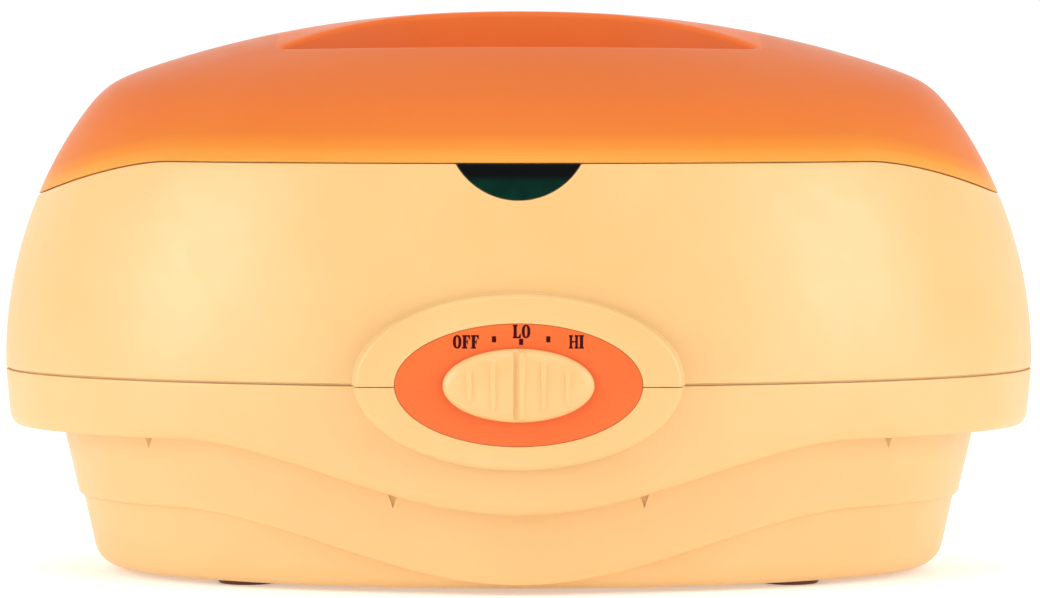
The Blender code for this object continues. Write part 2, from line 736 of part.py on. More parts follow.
def make_bracket():
    """A plate from the upper housing's front bosses down to the thermostat."""
    low = (-19 * MM, BRACKET_Y[0], 45 * MM)
    high = (19 * MM, BRACKET_Y[1], 103 * MM)
    plate = block("thermostat_bracket", low, high, "zinc_steel")
    at = (0, CLEAR_Y, PINION_Z)
    cut(plate, rod("shaft_hole", at, (0, 1, 0), SHAFT_HOLE_R, -CLEAR_Y, "zinc_steel", 14))
    profile = ((0, 2), (2.4, 2), (3, 1.2), (3, 0.3), (1.4, 0.3), (1.4, -8), (0, -9))
    shape = [(radius * MM, height * MM) for radius, height in profile]
    for k, x in enumerate(BRACKET_SCREW_X, 1):
        at = (x, CLEAR_Y, BRACKET_SCREW_Z)
        cut(plate, rod(f"plate_hole_{k}", at, (0, 1, 0), 1.8 * MM, -CLEAR_Y, "zinc_steel", 10))
        at = (x, BRACKET_Y[1], BRACKET_SCREW_Z)
        turned(f"bracket_screw_{k}", at, (0, 1, 0), shape, "zinc_steel", 10)


def make_indicator():
    """A window that continues the front wall, with its lamp behind it."""
    rows = []
    top = SEAM_Z - HALF_GAP
    bottom = LENS_Z - LENS_R + 0.5 * MM
    for k in range(6):
        z = mix(bottom, top, k / 5)
        half = math.sqrt(LENS_R**2 - (LENS_Z - z) ** 2)
        xs = [half * step / 5 for step in range(-5, 6)]
        face = [Vector((x, front_y(x, z), z)) for x in xs]
        back = [Vector((x, front_y(x, z) + LENS_THICK, z)) for x in reversed(xs)]
        rows.append(face + back)
    loft("indicator_lens", rows, "lens_dark")
    holder = ((0, 0), (5, 0), (5, 2), (3.4, 2), (3.4, 12), (0, 12))
    shape = [(radius * MM, height * MM) for radius, height in holder]
    turned("lamp_holder", (0, LAMP_BACK_Y, LAMP_Z), (0, -1, 0), shape, "black_plastic", 12)
    lamp = ((0, 0), (2.4, 0), (2.4, 2.4), (1.6, 3.6), (0, 4))
    shape = [(radius * MM, height * MM) for radius, height in lamp]
    at = (0, LAMP_BACK_Y - 12.3 * MM, LAMP_Z)
    turned("indicator_lamp", at, (0, -1, 0), shape, "lens_dark", 12)


# ---------------------------------------------------------------- basin and heat


def make_basin():
    thick = BASIN_WALL
    top = FLANGE_Z + thick
    round_z = BASIN_FLOOR_Z + 9 * MM
    inner = [
        (basin_half(BASIN_FLOOR_Z, -9 * MM), BASIN_FLOOR_Z),
        (basin_half(BASIN_FLOOR_Z, -2.5 * MM), BASIN_FLOOR_Z + 2.6 * MM),
        (basin_half(round_z), round_z),
        (BASIN_TOP, top - 2 * MM),
        ((BASIN_TOP[0] + 2 * MM, BASIN_TOP[1] + 2 * MM), top),
    ]
    outer = [
        (FLANGE_HALF, top),
        (FLANGE_HALF, FLANGE_Z),
        ((BASIN_TOP[0] + thick, BASIN_TOP[1] + thick), FLANGE_Z),
        (basin_half(round_z, thick), round_z),
        (basin_half(BASIN_FLOOR_Z, thick - 2.5 * MM), BASIN_FLOOR_Z + 1.2 * MM),
        (basin_half(BASIN_FLOOR_Z, thick - 9 * MM), BASIN_FLOOR_Z - thick),
    ]
    rings = [[Vector((0, 0, BASIN_FLOOR_Z))]]
    rings += [flat_ring(*half, z, BASIN_POWER) for half, z in inner + outer]
    rings.append([Vector((0, 0, BASIN_FLOOR_Z - thick))])
    loft("basin", rings, "basin_aluminium")
    edge = (DECK_HALF[0] + 0.4 * MM, DECK_HALF[1] + 0.4 * MM)
    band(
        "basin_gasket",
        lambda z: edge,
        lambda z: (edge[0] + 3.5 * MM, edge[1] + 3.5 * MM),
        DECK_Z + GAP,
        FLANGE_Z - GAP,
        "seal_silicone",
    )


def make_heater():
    """Heater foil, its strap and the felt around the basin's lower wall."""
    band(
        "heater_band",
        lambda z: basin_half(z, HEATER_SKIN),
        lambda z: basin_half(z, HEATER_SKIN + 1.6 * MM),
        54 * MM,
        84 * MM,
        "seal_silicone",
    )
    band(
        "heater_strap",
        lambda z: basin_half(z, HEATER_SKIN + 2 * MM),
        lambda z: basin_half(z, HEATER_SKIN + 2.8 * MM),
        64 * MM,
        74 * MM,
        "zinc_steel",
    )
    band(
        "insulation_wrap",
        lambda z: basin_half(z, HEATER_SKIN + 3.6 * MM),
        lambda z: basin_half(z, HEATER_SKIN + 7.6 * MM),
        52 * MM,
        92 * MM,
        "felt_white",
    )
    half = basin_half(BASIN_FLOOR_Z, -12 * MM)
    hole = (4 * MM, 4 * MM)
    levels = ((half, 32), (half, 38), (hole, 38), (hole, 32))
    rings = [flat_ring(*size, z * MM, BASIN_POWER, 32) for size, z in levels]
    loft("insulation_pad", rings, "felt_white", closed=True)


def make_grid():
    """Slatted tray that keeps hands and feet off the hot floor."""
    half = basin_half(BASIN_FLOOR_Z, -5 * MM)
    rings = [flat_ring(*half, z, BASIN_POWER, 32) for z in (GRID_Z, GRID_Z + GRID_THICK)]
    grid = loft("basin_grid", rings, "grid_plastic")
    for k in range(GRID_GAPS):
        x = (k - (GRID_GAPS - 1) / 2) * GRID_PITCH
        edge = half[1] * (1 - (abs(x) / half[0]) ** BASIN_POWER) ** (1 / BASIN_POWER)
        reach = edge - GRID_RIM
        low = (x - GRID_GAP_HALF, -reach, BASIN_FLOOR_Z)
        high = (x + GRID_GAP_HALF, reach, GRID_Z + 2 * GRID_THICK)
        cut(grid, block(f"slat_gap_{k}", low, high, "grid_plastic"))
    for k, (x, y) in enumerate(corners((87.5 * MM, 33 * MM))):
        low = (x - 2 * MM, y - 2 * MM, BASIN_FLOOR_Z + GAP)
        high = (x + 2 * MM, y + 2 * MM, GRID_Z + 2 * MM)
        join(grid, block(f"grid_leg_{k}", low, high, "grid_plastic"))


def make_basin_tie():
    """Stud, washer and nut that pull the basin down onto its gasket."""
    up = (0, 0, 1)
    rod("basin_stud", (0, 0, 6 * MM), up, 2.2 * MM, 32.2 * MM, "zinc_steel", 12)
    washer = ((2.8, 10.6), (6.4, 10.6), (6.4, 11.7), (2.8, 11.7))
    shape = [(radius * MM, height * MM) for radius, height in washer]
    turned("stud_washer", (0, 0, 0), up, shape, "zinc_steel", 18, closed=True)
    nut = ((3, 6.6), (5.2, 6.6), (5.2, 10.3), (3, 10.3))
    shape = [(radius * MM, height * MM) for radius, height in nut]
    turned("stud_nut", (0, 0, 0), up, shape, "zinc_steel", 6, closed=True)


def ring_clip(name, at, inner, outer):
    """A short sleeve around a rod that lies along X."""
    shape = ((inner, 0), (outer, 0), (outer, 7 * MM), (inner, 7 * MM))
    turned(name, at, (1, 0, 0), shape, "zinc_steel", 14, closed=True)


def make_safety_parts():
    """Thermostat bulb at the front of the basin and thermal fuse at its rear."""
    along = (1, 0, 0)
    rod("sensor_bulb", (-64 * MM, *BULB_AT), along, 3 * MM, 40 * MM, "copper_tube", 12)
    ring_clip("bulb_clip", (-47 * MM, *BULB_AT), 3.3 * MM, 4.1 * MM)
    rod("thermal_fuse", (-10 * MM, *FUSE_AT), along, 2.2 * MM, 20 * MM, "white_nylon", 12)
    ring_clip("fuse_clip", (-3.5 * MM, *FUSE_AT), 2.5 * MM, 3.3 * MM)


def make_terminal_block():
    low = (-10 * MM, 98 * MM, 46 * MM)
    high = (24 * MM, 110 * MM, 58 * MM)
    made = block("terminal_block", low, high, "white_nylon")
    for k in range(3):
        at = ((-4 + 11 * k) * MM, 104 * MM, 52 * MM)
        cut(made, rod(f"terminal_hole_{k}", at, (0, 0, 1), 2.4 * MM, 10 * MM, "white_nylon", 10))


def make_gland():
    """Bush for the mains cord through the rear wall."""
    reach = GLAND_TIP_Y / MM
    profile = (
        (4, 110.6),
        (9, 110.6),
        (9, 112.8),
        (6.7, 112.8),
        (6.7, 118.2),
        (9.5, 118.2),
        (9.5, 120),
        (7.6, 120.8),
        (6.4, reach),
        (4, reach),
    )
    shape = [(radius * MM, height * MM) for radius, height in profile]
    turned("cord_gland", (0, 0, GLAND_Z), (0, 1, 0), shape, "dark_rubber", 20, closed=True)


def make_wiring():
    """Inner leads, each along its own way between the basin and the walls."""
    routes = {
        "capillary_tube": (
            (-8, -88.3, 66),
            (-9, -86.2, 69),
            (-12, -86.6, 78),
            (-16, -88.0, 89),
            (-19, -87.0, 97),
            (-23.6, -83.5, 99),
        ),
        "lamp_lead": (
            (6, -87.4, 66),
            (6, -86.4, 71),
            (6, -87.3, 80),
            (4, -89.0, 94),
            (1, -88.6, 116),
            (0, -87.6, 130),
            (0, -89.3, 139),
        ),
        "heater_lead": (
            (4, -88.0, 50),
            (4, -85.0, 48),
            (2, -79, 48.5),
            (0, -75.2, 50),
            (0, -74.8, 53),
        ),
        "heater_return": (
            (-11.2, 84.6, 104),
            (-16, 84.6, 103.5),
            (-22, 82.6, 98),
            (-24, 80.9, 92),
            (-24, 79.4, 85.2),
        ),
        "fuse_lead": (
            (11.2, 84.6, 104),
            (16, 87, 100),
            (18, 96, 85),
            (18, 103, 68),
            (18, 104, 56),
        ),
        "supply_lead": (
            (-4, 104, 55),
            (-6, 104, 62),
            (-30, 100, 60),
            (-80, 88, 48),
            (-130, 55, 46),
            (-153, 0, 46),
            (-130, -55, 46),
            (-80, -86, 46),
            (-30, -93, 46),
            (-8, -86, 48),
            (-6, -88.0, 52),
        ),
    }
    for name, route in routes.items():
        slim = name == "capillary_tube"
        points = [[value * MM for value in point] for point in route]
        radius = 0.7 * MM if slim else 1.0 * MM
        pipe(name, points, radius, "copper_tube" if slim else "seal_silicone")


def main():
    clear_scene()
    make_materials()
    make_lid()
    make_upper_housing()
    make_lower_housing()
    make_housing_screws()
    make_feet()
    make_bezel()
    make_knob()
    make_rack()
    make_pinion()
    make_thermostat()
    make_bracket()
    make_indicator()
    make_basin()
    make_basin_tie()
    make_heater()
    make_grid()
    make_safety_parts()
    make_terminal_block()
    make_gland()
    make_wiring()


main()
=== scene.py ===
"""Looks of the paraffin wax warmer: detailed shells, materials, light and camera around its CAD frame.

Everything is in metres in the frame of the CAD model: +Z up, and the front faces -Y.
"""

import json
import math

import bmesh
import bpy
import numpy as np
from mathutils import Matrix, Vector


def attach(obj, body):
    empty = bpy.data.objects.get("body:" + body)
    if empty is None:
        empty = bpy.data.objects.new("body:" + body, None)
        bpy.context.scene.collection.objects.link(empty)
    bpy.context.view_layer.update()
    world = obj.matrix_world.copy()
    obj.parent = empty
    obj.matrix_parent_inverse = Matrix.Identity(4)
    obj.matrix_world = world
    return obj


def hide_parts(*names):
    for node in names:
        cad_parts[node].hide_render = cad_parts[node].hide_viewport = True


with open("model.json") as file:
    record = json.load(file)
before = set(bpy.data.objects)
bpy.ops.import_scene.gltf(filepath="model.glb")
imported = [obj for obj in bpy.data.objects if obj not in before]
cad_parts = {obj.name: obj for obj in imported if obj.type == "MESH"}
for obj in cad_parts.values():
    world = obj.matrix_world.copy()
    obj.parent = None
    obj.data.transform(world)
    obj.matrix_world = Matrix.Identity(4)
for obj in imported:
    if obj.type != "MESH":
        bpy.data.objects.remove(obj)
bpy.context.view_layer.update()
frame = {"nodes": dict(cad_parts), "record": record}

MM = 0.001
GAP = 0.3 * MM
HALF_GAP = GAP / 2

# Outer walls above the parting seam, as in the CAD: two arcs that are widest at WIDEST_Z.
WIDEST_Z = 78 * MM
END_ARC_R = 155 * MM
END_ARC_X = 34 * MM
FRONT_ARC_R = 265 * MM
FRONT_ARC_Y = -147 * MM
WALL = 2.5 * MM

# Parting seam between the housings, and the lid seam, which dips at the ends.
PARTING_Z = 74.6 * MM
SEAM_Z = 151.8 * MM
SEAM_DIP = 13.6 * MM
DIP_POWER = 1.6
DIP_START = 125 * MM
DIP_LENGTH = 51.8 * MM
SEAM_HALF_LENGTH = 176.8 * MM
SEAM_HALF_DEPTH = 107.5 * MM

# Rounds after which a height that depends on itself has settled.
SETTLING = 8

# The lid's crest along X, its shoulder, and its profile from front to back.
CREST_Z = 205.5 * MM
CREST_DROP = 22.6 * MM
CREST_SPAN = 141.7 * MM
CREST_POWER = 2.2
SHOULDER = 2.5 * MM
SPRING_Z = 112 * MM
FRONT_REACH = 116.5 * MM
FRONT_POWER = 2.15
LID_WALL = 2.5 * MM
LID_LIFT = 0.1 * MM

# Finger scoops on both sides of the handle bar.
SCOOP_RIM_X = 109 * MM
SCOOP_RIM_Y = 63 * MM
BAR_HALF = 12 * MM
BAR_STRAIGHT = 35 * MM
BAR_FLARE = 26.7 * MM
BAR_FLARE_SPAN = 51 * MM
SCOOP_FLOOR_Z = 166 * MM

# Upstand inside the lid seam, and the deck that carries the basin.
UPSTAND_RISE = 8 * MM
UPSTAND_OUT = 3.6 * MM
UPSTAND_IN = 6.0 * MM
DECK_Z = 148 * MM
DECK_HALF = (151.8 * MM, 87.8 * MM)

# Lower housing: three tiers, the upper two ending in a wave.
TIER_HALF = ((189 * MM, 118 * MM), (168 * MM, 109.5 * MM), (160.5 * MM, 103 * MM))
TIER_DRAFT = ((0.09, 0.07), (0.23, 0.12), (0.22, 0.15))
TIER_TOP_Z = (PARTING_Z, 54 * MM, 28.3 * MM)
WAVE_DROP = (24.8 * MM, 24.4 * MM)
WAVE_HALF = 120 * MM
WAVE_POWER = 0.85
BASE_Z = 1.6 * MM
BASE_FILLET = 8 * MM

# Control on the front.
PAD_HALF = (57.2 * MM, 30.6 * MM)
PAD_Z = 76.3 * MM
PAD_FACE_Y = -121 * MM
CONTROL_Z = 75.3 * MM
BEZEL_HALF = (43 * MM, 21.3 * MM)
BEZEL_THICK = 1.4 * MM
KNOB_HALF = (26.3 * MM, 12.8 * MM)
KNOB_FRONT_Y = -127.5 * MM
SLOT_HALF = (24.8 * MM, 3 * MM)
SLOT_POWER = 6.0
STEM_HALF = (3.5 * MM, 2.4 * MM)

# Indicator window under the lid seam.
LENS_R = 25 * MM
LENS_Z = 164.3 * MM
LENS_THICK = 2 * MM
POCKET_Y = -104.7 * MM

# Basin and grid.
BASIN_TOP = (150 * MM, 86 * MM)
BASIN_FLOOR = (134 * MM, 70 * MM)
BASIN_FLOOR_Z = 40 * MM
BASIN_WALL = 1.5 * MM
BASIN_POWER = 2.3
FLANGE_Z = 150.1 * MM
FLANGE_HALF = (155.5 * MM, 91.5 * MM)


# ---------------------------------------------------------------- meshes

SHARP_ANGLE = 35


class Skin:
    """Points and faces of one piece, gathered sheet by sheet."""

    def __init__(self):
        self.points = []
        self.faces = []
        self.count = 0

    def add(self, points):
        """Takes points in any grid shape and gives their numbers in the same shape."""
        points = np.asarray(points, float)
        flat = points.reshape(-1, 3)
        numbers = np.arange(self.count, self.count + len(flat)).reshape(points.shape[:-1])
        self.points.append(flat)
        self.count += len(flat)
        return numbers

    def sheet(self, grid, wrap=False):
        """Faces between the rows of a grid of point numbers; wrap joins its last column to its first."""
        grid = np.asarray(grid)
        ahead = np.roll(grid, -1, axis=1) if wrap else grid[:, 1:]
        here = grid if wrap else grid[:, :-1]
        quads = np.stack((here[:-1], ahead[:-1], ahead[1:], here[1:]), axis=-1).reshape(-1, 4)
        self.faces += quads.tolist()

    def fan(self, ring, pole):
        """Triangles from a closed ring of point numbers to one point."""
        ring = list(ring)
        self.faces += [(a, b, pole) for a, b in zip(ring, ring[1:] + ring[:1])]

    def cap(self, ring):
        self.faces.append([int(number) for number in ring])

    def hollow(self, rings):
        """Rings in a round, the last one joined to the first, as on a tube with a thick wall."""
        numbers = self.add(rings)
        self.sheet(np.vstack((numbers, numbers[:1])), wrap=True)

    def solid(self, rings):
        """Rings from one end to the other, with both ends capped."""
        numbers = self.add(rings)
        self.sheet(numbers, wrap=True)
        self.cap(numbers[0])
        self.cap(numbers[-1][::-1])

    def build(self, name, sharp=SHARP_ANGLE):
        data = bpy.data.meshes.new(name)
        data.from_pydata(np.concatenate(self.points).tolist(), [], self.faces)
        data.validate()
        work = bmesh.new()
        work.from_mesh(data)
        bmesh.ops.recalc_face_normals(work, faces=work.faces)
        work.to_mesh(data)
        work.free()
        return placed(name, smooth(data, sharp))


def smooth(data, sharp=SHARP_ANGLE):
    """Shades a mesh smooth, apart from edges sharper than this many degrees."""
    data.shade_smooth()
    data.set_sharp_from_angle(angle=math.radians(sharp))
    return data


def placed(name, data):
    """A new object in the scene."""
    made = bpy.data.objects.new(name, data)
    bpy.context.scene.collection.objects.link(made)
    return made


def as_mesh(made):
    """The mesh of an object with its modifiers or bevel worked out."""
    graph = bpy.context.evaluated_depsgraph_get()
    return bpy.data.meshes.new_from_object(made.evaluated_get(graph))


def piece(made, body, slot, material, *nodes):
    """Puts a finished piece on its body, in place of its CAD nodes."""
    made.data.materials.append(material)
    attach(made, body)
    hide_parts(*nodes)
    return made


def mix(low, high, share):
    return low + (high - low) * share


def softplus(value, width):
    """A ramp that starts at zero with a rounding of this width."""
    return width * np.logaddexp(0, value / width)


def smooth_min(first, second, width):
    return -width * np.logaddexp(-first / width, -second / width)


def ellipse(half_x, half_y, angle, power=2.0):
    """Points of the superellipse with these half axes."""
    across = np.cos(angle)
    along = np.sin(angle)
    x = half_x * np.sign(across) * np.abs(across) ** (2 / power)
    y = half_y * np.sign(along) * np.abs(along) ** (2 / power)
    return x, y


def stack(x, y, z):
    return np.stack(np.broadcast_arrays(x, y, z), axis=-1)


def turn(count):
    return np.arange(count) * math.tau / count


def eased(count):
    """Shares from 0 to 1 that lie closer together at both ends."""
    return 0.5 - 0.5 * np.cos(np.linspace(0, math.pi, count))


def quarter(radius, count=5):
    """Pairs of inset and drop around a rounded edge; an uneven rounding has two radii."""
    across, upward = np.broadcast_to(radius, 2)
    angles = np.linspace(0, math.pi / 2, count)
    return [(across * (1 - math.cos(a)), upward * (1 - math.sin(a))) for a in angles]


# ---------------------------------------------------------------- surfaces, as in the CAD


def wall_half(z):
    """Half length and half depth of the outer wall at a height above the parting seam."""
    rise = (z - WIDEST_Z) ** 2
    return END_ARC_X + np.sqrt(END_ARC_R**2 - rise), FRONT_ARC_Y + np.sqrt(FRONT_ARC_R**2 - rise)


def wall_point(angle, z, inset=0.0):
    half_x, half_y = wall_half(z)
    return stack(*ellipse(half_x - inset, half_y - inset, angle), z)


def front_y(x, z, inset=0.0):
    """Y of the front wall at this place, inset towards the inside."""
    half_x, half_y = wall_half(z)
    return -(half_y - inset) * np.sqrt(1 - (x / (half_x - inset)) ** 2)


def seam_height(x):
    reach = np.clip((np.abs(x) - DIP_START) / DIP_LENGTH, 0, 1)
    return SEAM_Z - SEAM_DIP * reach**DIP_POWER


def seam_point(angle, inset=0.0):
    z = np.full(np.shape(angle), SEAM_Z)
    for _ in range(SETTLING):
        z = seam_height(wall_point(angle, z, inset)[..., 0])
    return wall_point(angle, z, inset)


def crest_height(x):
    """Height of the lid along its crest, rounded where it meets the end arc."""
    along = CREST_Z - CREST_DROP * (np.abs(x) / CREST_SPAN) ** CREST_POWER
    end = WIDEST_Z + np.sqrt(END_ARC_R**2 - (np.abs(x) - END_ARC_X) ** 2)
    return smooth_min(along, end, SHOULDER)


def front_height(y):
    share = 1 - (np.abs(y) / FRONT_REACH) ** FRONT_POWER
    return SPRING_Z + (CREST_Z - SPRING_Z) * share ** (1 / FRONT_POWER)


def rim_below(x, y):
    """The seam's height, angle and share of the way out, for places on the lid's plan."""
    z = np.full(np.shape(x), SEAM_Z)
    for _ in range(SETTLING):
        half_x, half_y = wall_half(z)
        angle = np.arctan2(y / half_y, x / half_x)
        z = seam_height(half_x * np.cos(angle))
    half_x, half_y = wall_half(z)
    return z, angle, np.hypot(x / half_x, y / half_y)


def dome_level(rim_z, angle, reach):
    """Height of the lid's outer surface at a share of the way from its middle to the seam."""
    at_seam = (SEAM_Z - rim_z) / SEAM_DIP
    share = mix(np.cos(angle) ** 2, at_seam, reach**4)
    front = front_height(SEAM_HALF_DEPTH * reach)
    end = crest_height(SEAM_HALF_LENGTH * reach)
    return mix(front, end, share)


def dome_height(x, y):
    """Height of the lid's outer surface, without its scoops, over a place on the plan."""
    rim_z, angle, reach = rim_below(x, y)
    return LID_LIFT + dome_level(rim_z, angle, np.minimum(reach, 1))


def dome_tilt(x, y):
    """How much longer a step through the lid's wall is upright than square to it."""
    step = 0.2 * MM
    x = x * INSIDE_RIM
    y = y * INSIDE_RIM
    slope_x = (dome_height(x + step, y) - dome_height(x - step, y)) / (2 * step)
    slope_y = (dome_height(x, y + step) - dome_height(x, y - step)) / (2 * step)
    return np.sqrt(1 + slope_x**2 + slope_y**2)


def wave(x):
    share = (1 + np.cos(math.pi * np.clip(x / WAVE_HALF, -1, 1))) / 2
    return share**WAVE_POWER


def tier_point(tier, angle, z, inset=0.0):
    fall = TIER_TOP_Z[tier] - z
    half_x = TIER_HALF[tier][0] - TIER_DRAFT[tier][0] * fall - inset
    half_y = TIER_HALF[tier][1] - TIER_DRAFT[tier][1] * fall - inset
    return stack(*ellipse(half_x, half_y, angle), z)


def tier_edge(tier, angle):
    """Height of the wave that ends this tier, at this angle."""
    top = TIER_TOP_Z[tier + 1]
    return top - WAVE_DROP[tier] * wave(tier_point(tier, angle, top)[..., 0])


def basin_half(z, outside=0.0):
    """Half axes of the basin's inner face at a height, plus a distance outwards."""
    share = (z - BASIN_FLOOR_Z) / (FLANGE_Z - BASIN_FLOOR_Z)
    return [mix(BASIN_FLOOR[k], BASIN_TOP[k], share) + outside for k in (0, 1)]


# ---------------------------------------------------------------- detail sizes

LID_COLUMNS = 440
LID_LEAN = 0.2 * MM
LID_ROUND = 0.5 * MM
INSIDE_RIM = 0.99
SCOOP_STEEPNESS = 5.7
SCOOP_LIP = 0.45 * MM
SCOOP_FILLET = 1.5 * MM
SCOOP_CORNER = 1.5 * MM
SCOOP_APRON = 3 * MM
GRIP_END_X = 88 * MM
GRIP_BLEND = 3 * MM
BAR_FLARE_POWER = 1.3
BAR_LIMIT = 0.98
WALL_COLUMNS = 300
WALL_ROWS = 30
DENSE_COLUMNS = 110
DENSE_HALF = 28 * MM
EDGE_ROUND = 0.45 * MM
SKIRT_ROUND = (3 * MM, 5 * MM)
TIER_ROWS = 11
NECK_FILLET = 1 * MM
SEAM_GROOVE = (1 * MM, 0.55 * MM)
LEDGE_SHARES = (0.3, 0.55, 0.8, 1.0)
POCKET_SHARE = 0.55
LEDGE_CLEAR = 0.7 * MM
UPPER_LIP = (3.5 * MM, 1.2 * MM)
LOWER_LIP = (3 * MM, 1.5 * MM)
STEP_ROUND = 1.2 * MM
NOTCH_X = (44 * MM, 132 * MM)
NOTCH_HALF = 1.9 * MM
NOTCH_DROP = 4.6 * MM
NOTCH_DEPTH = 1.3 * MM
NOTCH_START = -3 * MM
PAD_STEPS = 160
PAD_FLARE = 1 * MM
PAD_FLARE_RISE = 0.9 * MM
PAD_ROUND = (1.5 * MM, 1.5 * MM)
PAD_BULGE = 1.3
PAD_BACK_Y = -110.5 * MM
FACE_EDGE = 1.5 * MM
SLOT_CUT_Y = (-130 * MM, -109 * MM)
SUNK = 0.05 * MM
RECESS_ROUND = 0.25 * MM
CONTROL_STEPS = 200
BEZEL_ROUND = 0.35 * MM
KNOB_BACK_Y = PAD_FACE_Y - GAP
KNOB_SIDE = 1.2 * MM
KNOB_UNDERCUT = 0.4 * MM
DOME_POWER = (3, 1 / 1.8)
RIB_X = (8.7 * MM, 17 * MM)
RIB_REACH = (8.1 * MM, 5.3 * MM)
RIB_HALF = 0.8 * MM
RIB_HEIGHT = 0.78 * MM
RIB_FADE = 0.25 * MM
RIDGE_HEIGHT = 0.7 * MM
RIDGE_X = 1.2 * MM
GROOVE_X = -0.9 * MM
GROOVE_SHARE = 1.3
POINTER_HALF = 0.9 * MM
POINTER_REACH = 0.93
POINTER_FADE = 0.2 * MM
BUMP_POWER = 6
KNOB_HEADROOM = 0.75 * MM
INK_DEPTH = 0.08 * MM
INK_ROUND = 0.01 * MM
WORDS = (("OFF", -18.2, 90.4), ("LO", 1.0, 94.0), ("HI", 20.1, 90.4))
TICKS = ((-8.5, 91.3), (0.9, 90.4), (10.3, 91.3))
LETTER_HIGH = 4.7 * MM
LETTER_WIDE = 4.1 * MM
LETTER_THIN = 0.12
LETTER_WIDTHS = {"O": 3.25, "F": 3.05, "L": 3.2, "H": 3.4, "I": 2.0}
TICK_HALF = (0.72 * MM, 1.05 * MM)
STEM_BACK_Y = -108.1 * MM
LENS_ROUND = 0.35 * MM
LENS_TIP = 0.2 * MM
# Height above the seam over which the lid's painted light fades.
PAINTED_LIGHT_SPAN = 45 * MM
GLAND_Z = 62 * MM
GLAND_TIP_Y = 127.5 * MM
GLAND_HOLE_R = 7 * MM
GLAND_HOLE_Y = (108 * MM, 124 * MM)
BOSS_AT = (173 * MM, 26 * MM)
SCREW_Z = 56.5 * MM
SCREW_WELL_R = 3.9 * MM
SEAT = ((1.9 * MM, 56.4 * MM), (5.2 * MM, 57.7 * MM))
UNDERSIDE_HALF = (100 * MM, 50 * MM)
# Radius and height in mm round the hollow post that the basin is held down on.
POST_PROFILE = ((9, 1.6), (7.4, 1.6), (7, 2), (7, 12), (3.2, 12), (3.2, 27.5), (9, 27.5), (9, 5))
FOOT_AT = (97.5 * MM, 54 * MM)
BEZEL_GAP = 0.12 * MM
BASIN_FILLET = 9 * MM
GRID_Z = 46.5 * MM
GRID_THICK = 3 * MM
GRID_GAPS = 9
GRID_PITCH = 25 * MM
GRID_GAP_HALF = 8 * MM
GRID_RIM = 9 * MM
GRID_CLEAR = 5 * MM
LEG_AT = (87.5 * MM, 33 * MM)
LEG_R = 2.2 * MM
CORE_R = 0.1 * MM
KNOB_ROWS = 61
ROOM_LIGHT = 0.5
BACKDROP_LIGHT = 1.08
FLOOR_GLOW = 0.3
FLOOR_HALF = 6
FADE_HALF = 0.6
SIDE_POWER = 11
TOP_POWER = 5
CAMERA_AT = (0.0005, -1.918, 0.191)
CAMERA_TILT = 87.268
CAMERA_LENS = 180


def write_attribute(made, name, values):
    layer = made.data.attributes.new(name, "FLOAT", "POINT")
    layer.data.foreach_set("value", np.asarray(values, np.float32))


def four_places(at):
    """The four places with this distance to the sides, counted as on a plan."""
    return [(x * at[0], y * at[1]) for y in (-1, 1) for x in (-1, 1)]


def corners_of(made):
    """The piece's points, as an array of their three coordinates."""
    flat = np.zeros(len(made.data.vertices) * 3)
    made.data.vertices.foreach_get("co", flat)
    return flat.reshape(-1, 3)


def box_skin(skin, low, high):
    """A plain block, used for cutters and hidden stems."""
    x = np.array((low[0], high[0], high[0], low[0]))
    y = np.array((low[1], low[1], high[1], high[1]))
    skin.solid([stack(x, y, z) for z in (low[2], high[2])])


def turned(skin, at, axis, profile, sides=64):
    """A surface turned about an upright (2) or lengthwise (1) axis, capped where it has width."""
    angles = turn(sides)
    rings = []
    for radius, height in profile:
        across = radius * np.cos(angles)
        around = radius * np.sin(angles)
        level = np.full(sides, height)
        order = (across, around, level) if axis == 2 else (across, level, around)
        rings.append(np.array(at) + np.stack(order, axis=-1))
    skin.solid(rings)


def rounded_profile(corners, radius, count=4):
    """Pairs of radius and height through these corners, with each inner corner rounded."""
    points = [np.array(corner, float) for corner in corners]
    profile = [points[0]]
    for before, corner, after in zip(points, points[1:], points[2:]):
        lengths = [np.linalg.norm(end - corner) for end in (before, after)]
        reach = min(radius, *(0.45 * length for length in lengths))
        start = corner + (before - corner) / lengths[0] * reach
        end = corner + (after - corner) / lengths[1] * reach
        for share in np.linspace(0, 1, count):
            first = mix(start, corner, share)
            profile.append(mix(first, mix(corner, end, share), share))
    profile.append(points[-1])
    return profile


def cut_out(made, cutter):
    """Cuts one closed mesh out of a piece and drops the cutter."""
    step = made.modifiers.new("cut", "BOOLEAN")
    step.operation = "DIFFERENCE"
    step.solver = "EXACT"
    step.object = cutter
    data = as_mesh(made)
    made.modifiers.clear()
    made.data = smooth(data)
    bpy.data.objects.remove(cutter)


def plate(name, outlines, thickness, bevel, place):
    """A flat plate from closed outlines, the later ones holes, moved by place(x, y, depth)."""
    curve = bpy.data.curves.new(name, "CURVE")
    curve.dimensions = "2D"
    curve.fill_mode = "BOTH"
    curve.extrude = thickness / 2 - bevel
    curve.bevel_depth = bevel
    curve.bevel_resolution = 2
    curve.offset = -bevel
    for outline in outlines:
        spline = curve.splines.new("POLY")
        spline.points.add(len(outline) - 1)
        spline.use_cyclic_u = True
        for point, (x, y) in zip(spline.points, outline):
            point.co = (x, y, 0, 1)
    flat = placed(name, curve)
    data = as_mesh(flat)
    bpy.data.objects.remove(flat)
    work = bmesh.new()
    work.from_mesh(data)
    bmesh.ops.remove_doubles(work, verts=work.verts, dist=0.001 * MM)
    for vertex in work.verts:
        vertex.co = place(*vertex.co)
    bmesh.ops.recalc_face_normals(work, faces=work.faces)
    work.to_mesh(data)
    work.free()
    return placed(name, smooth(data))


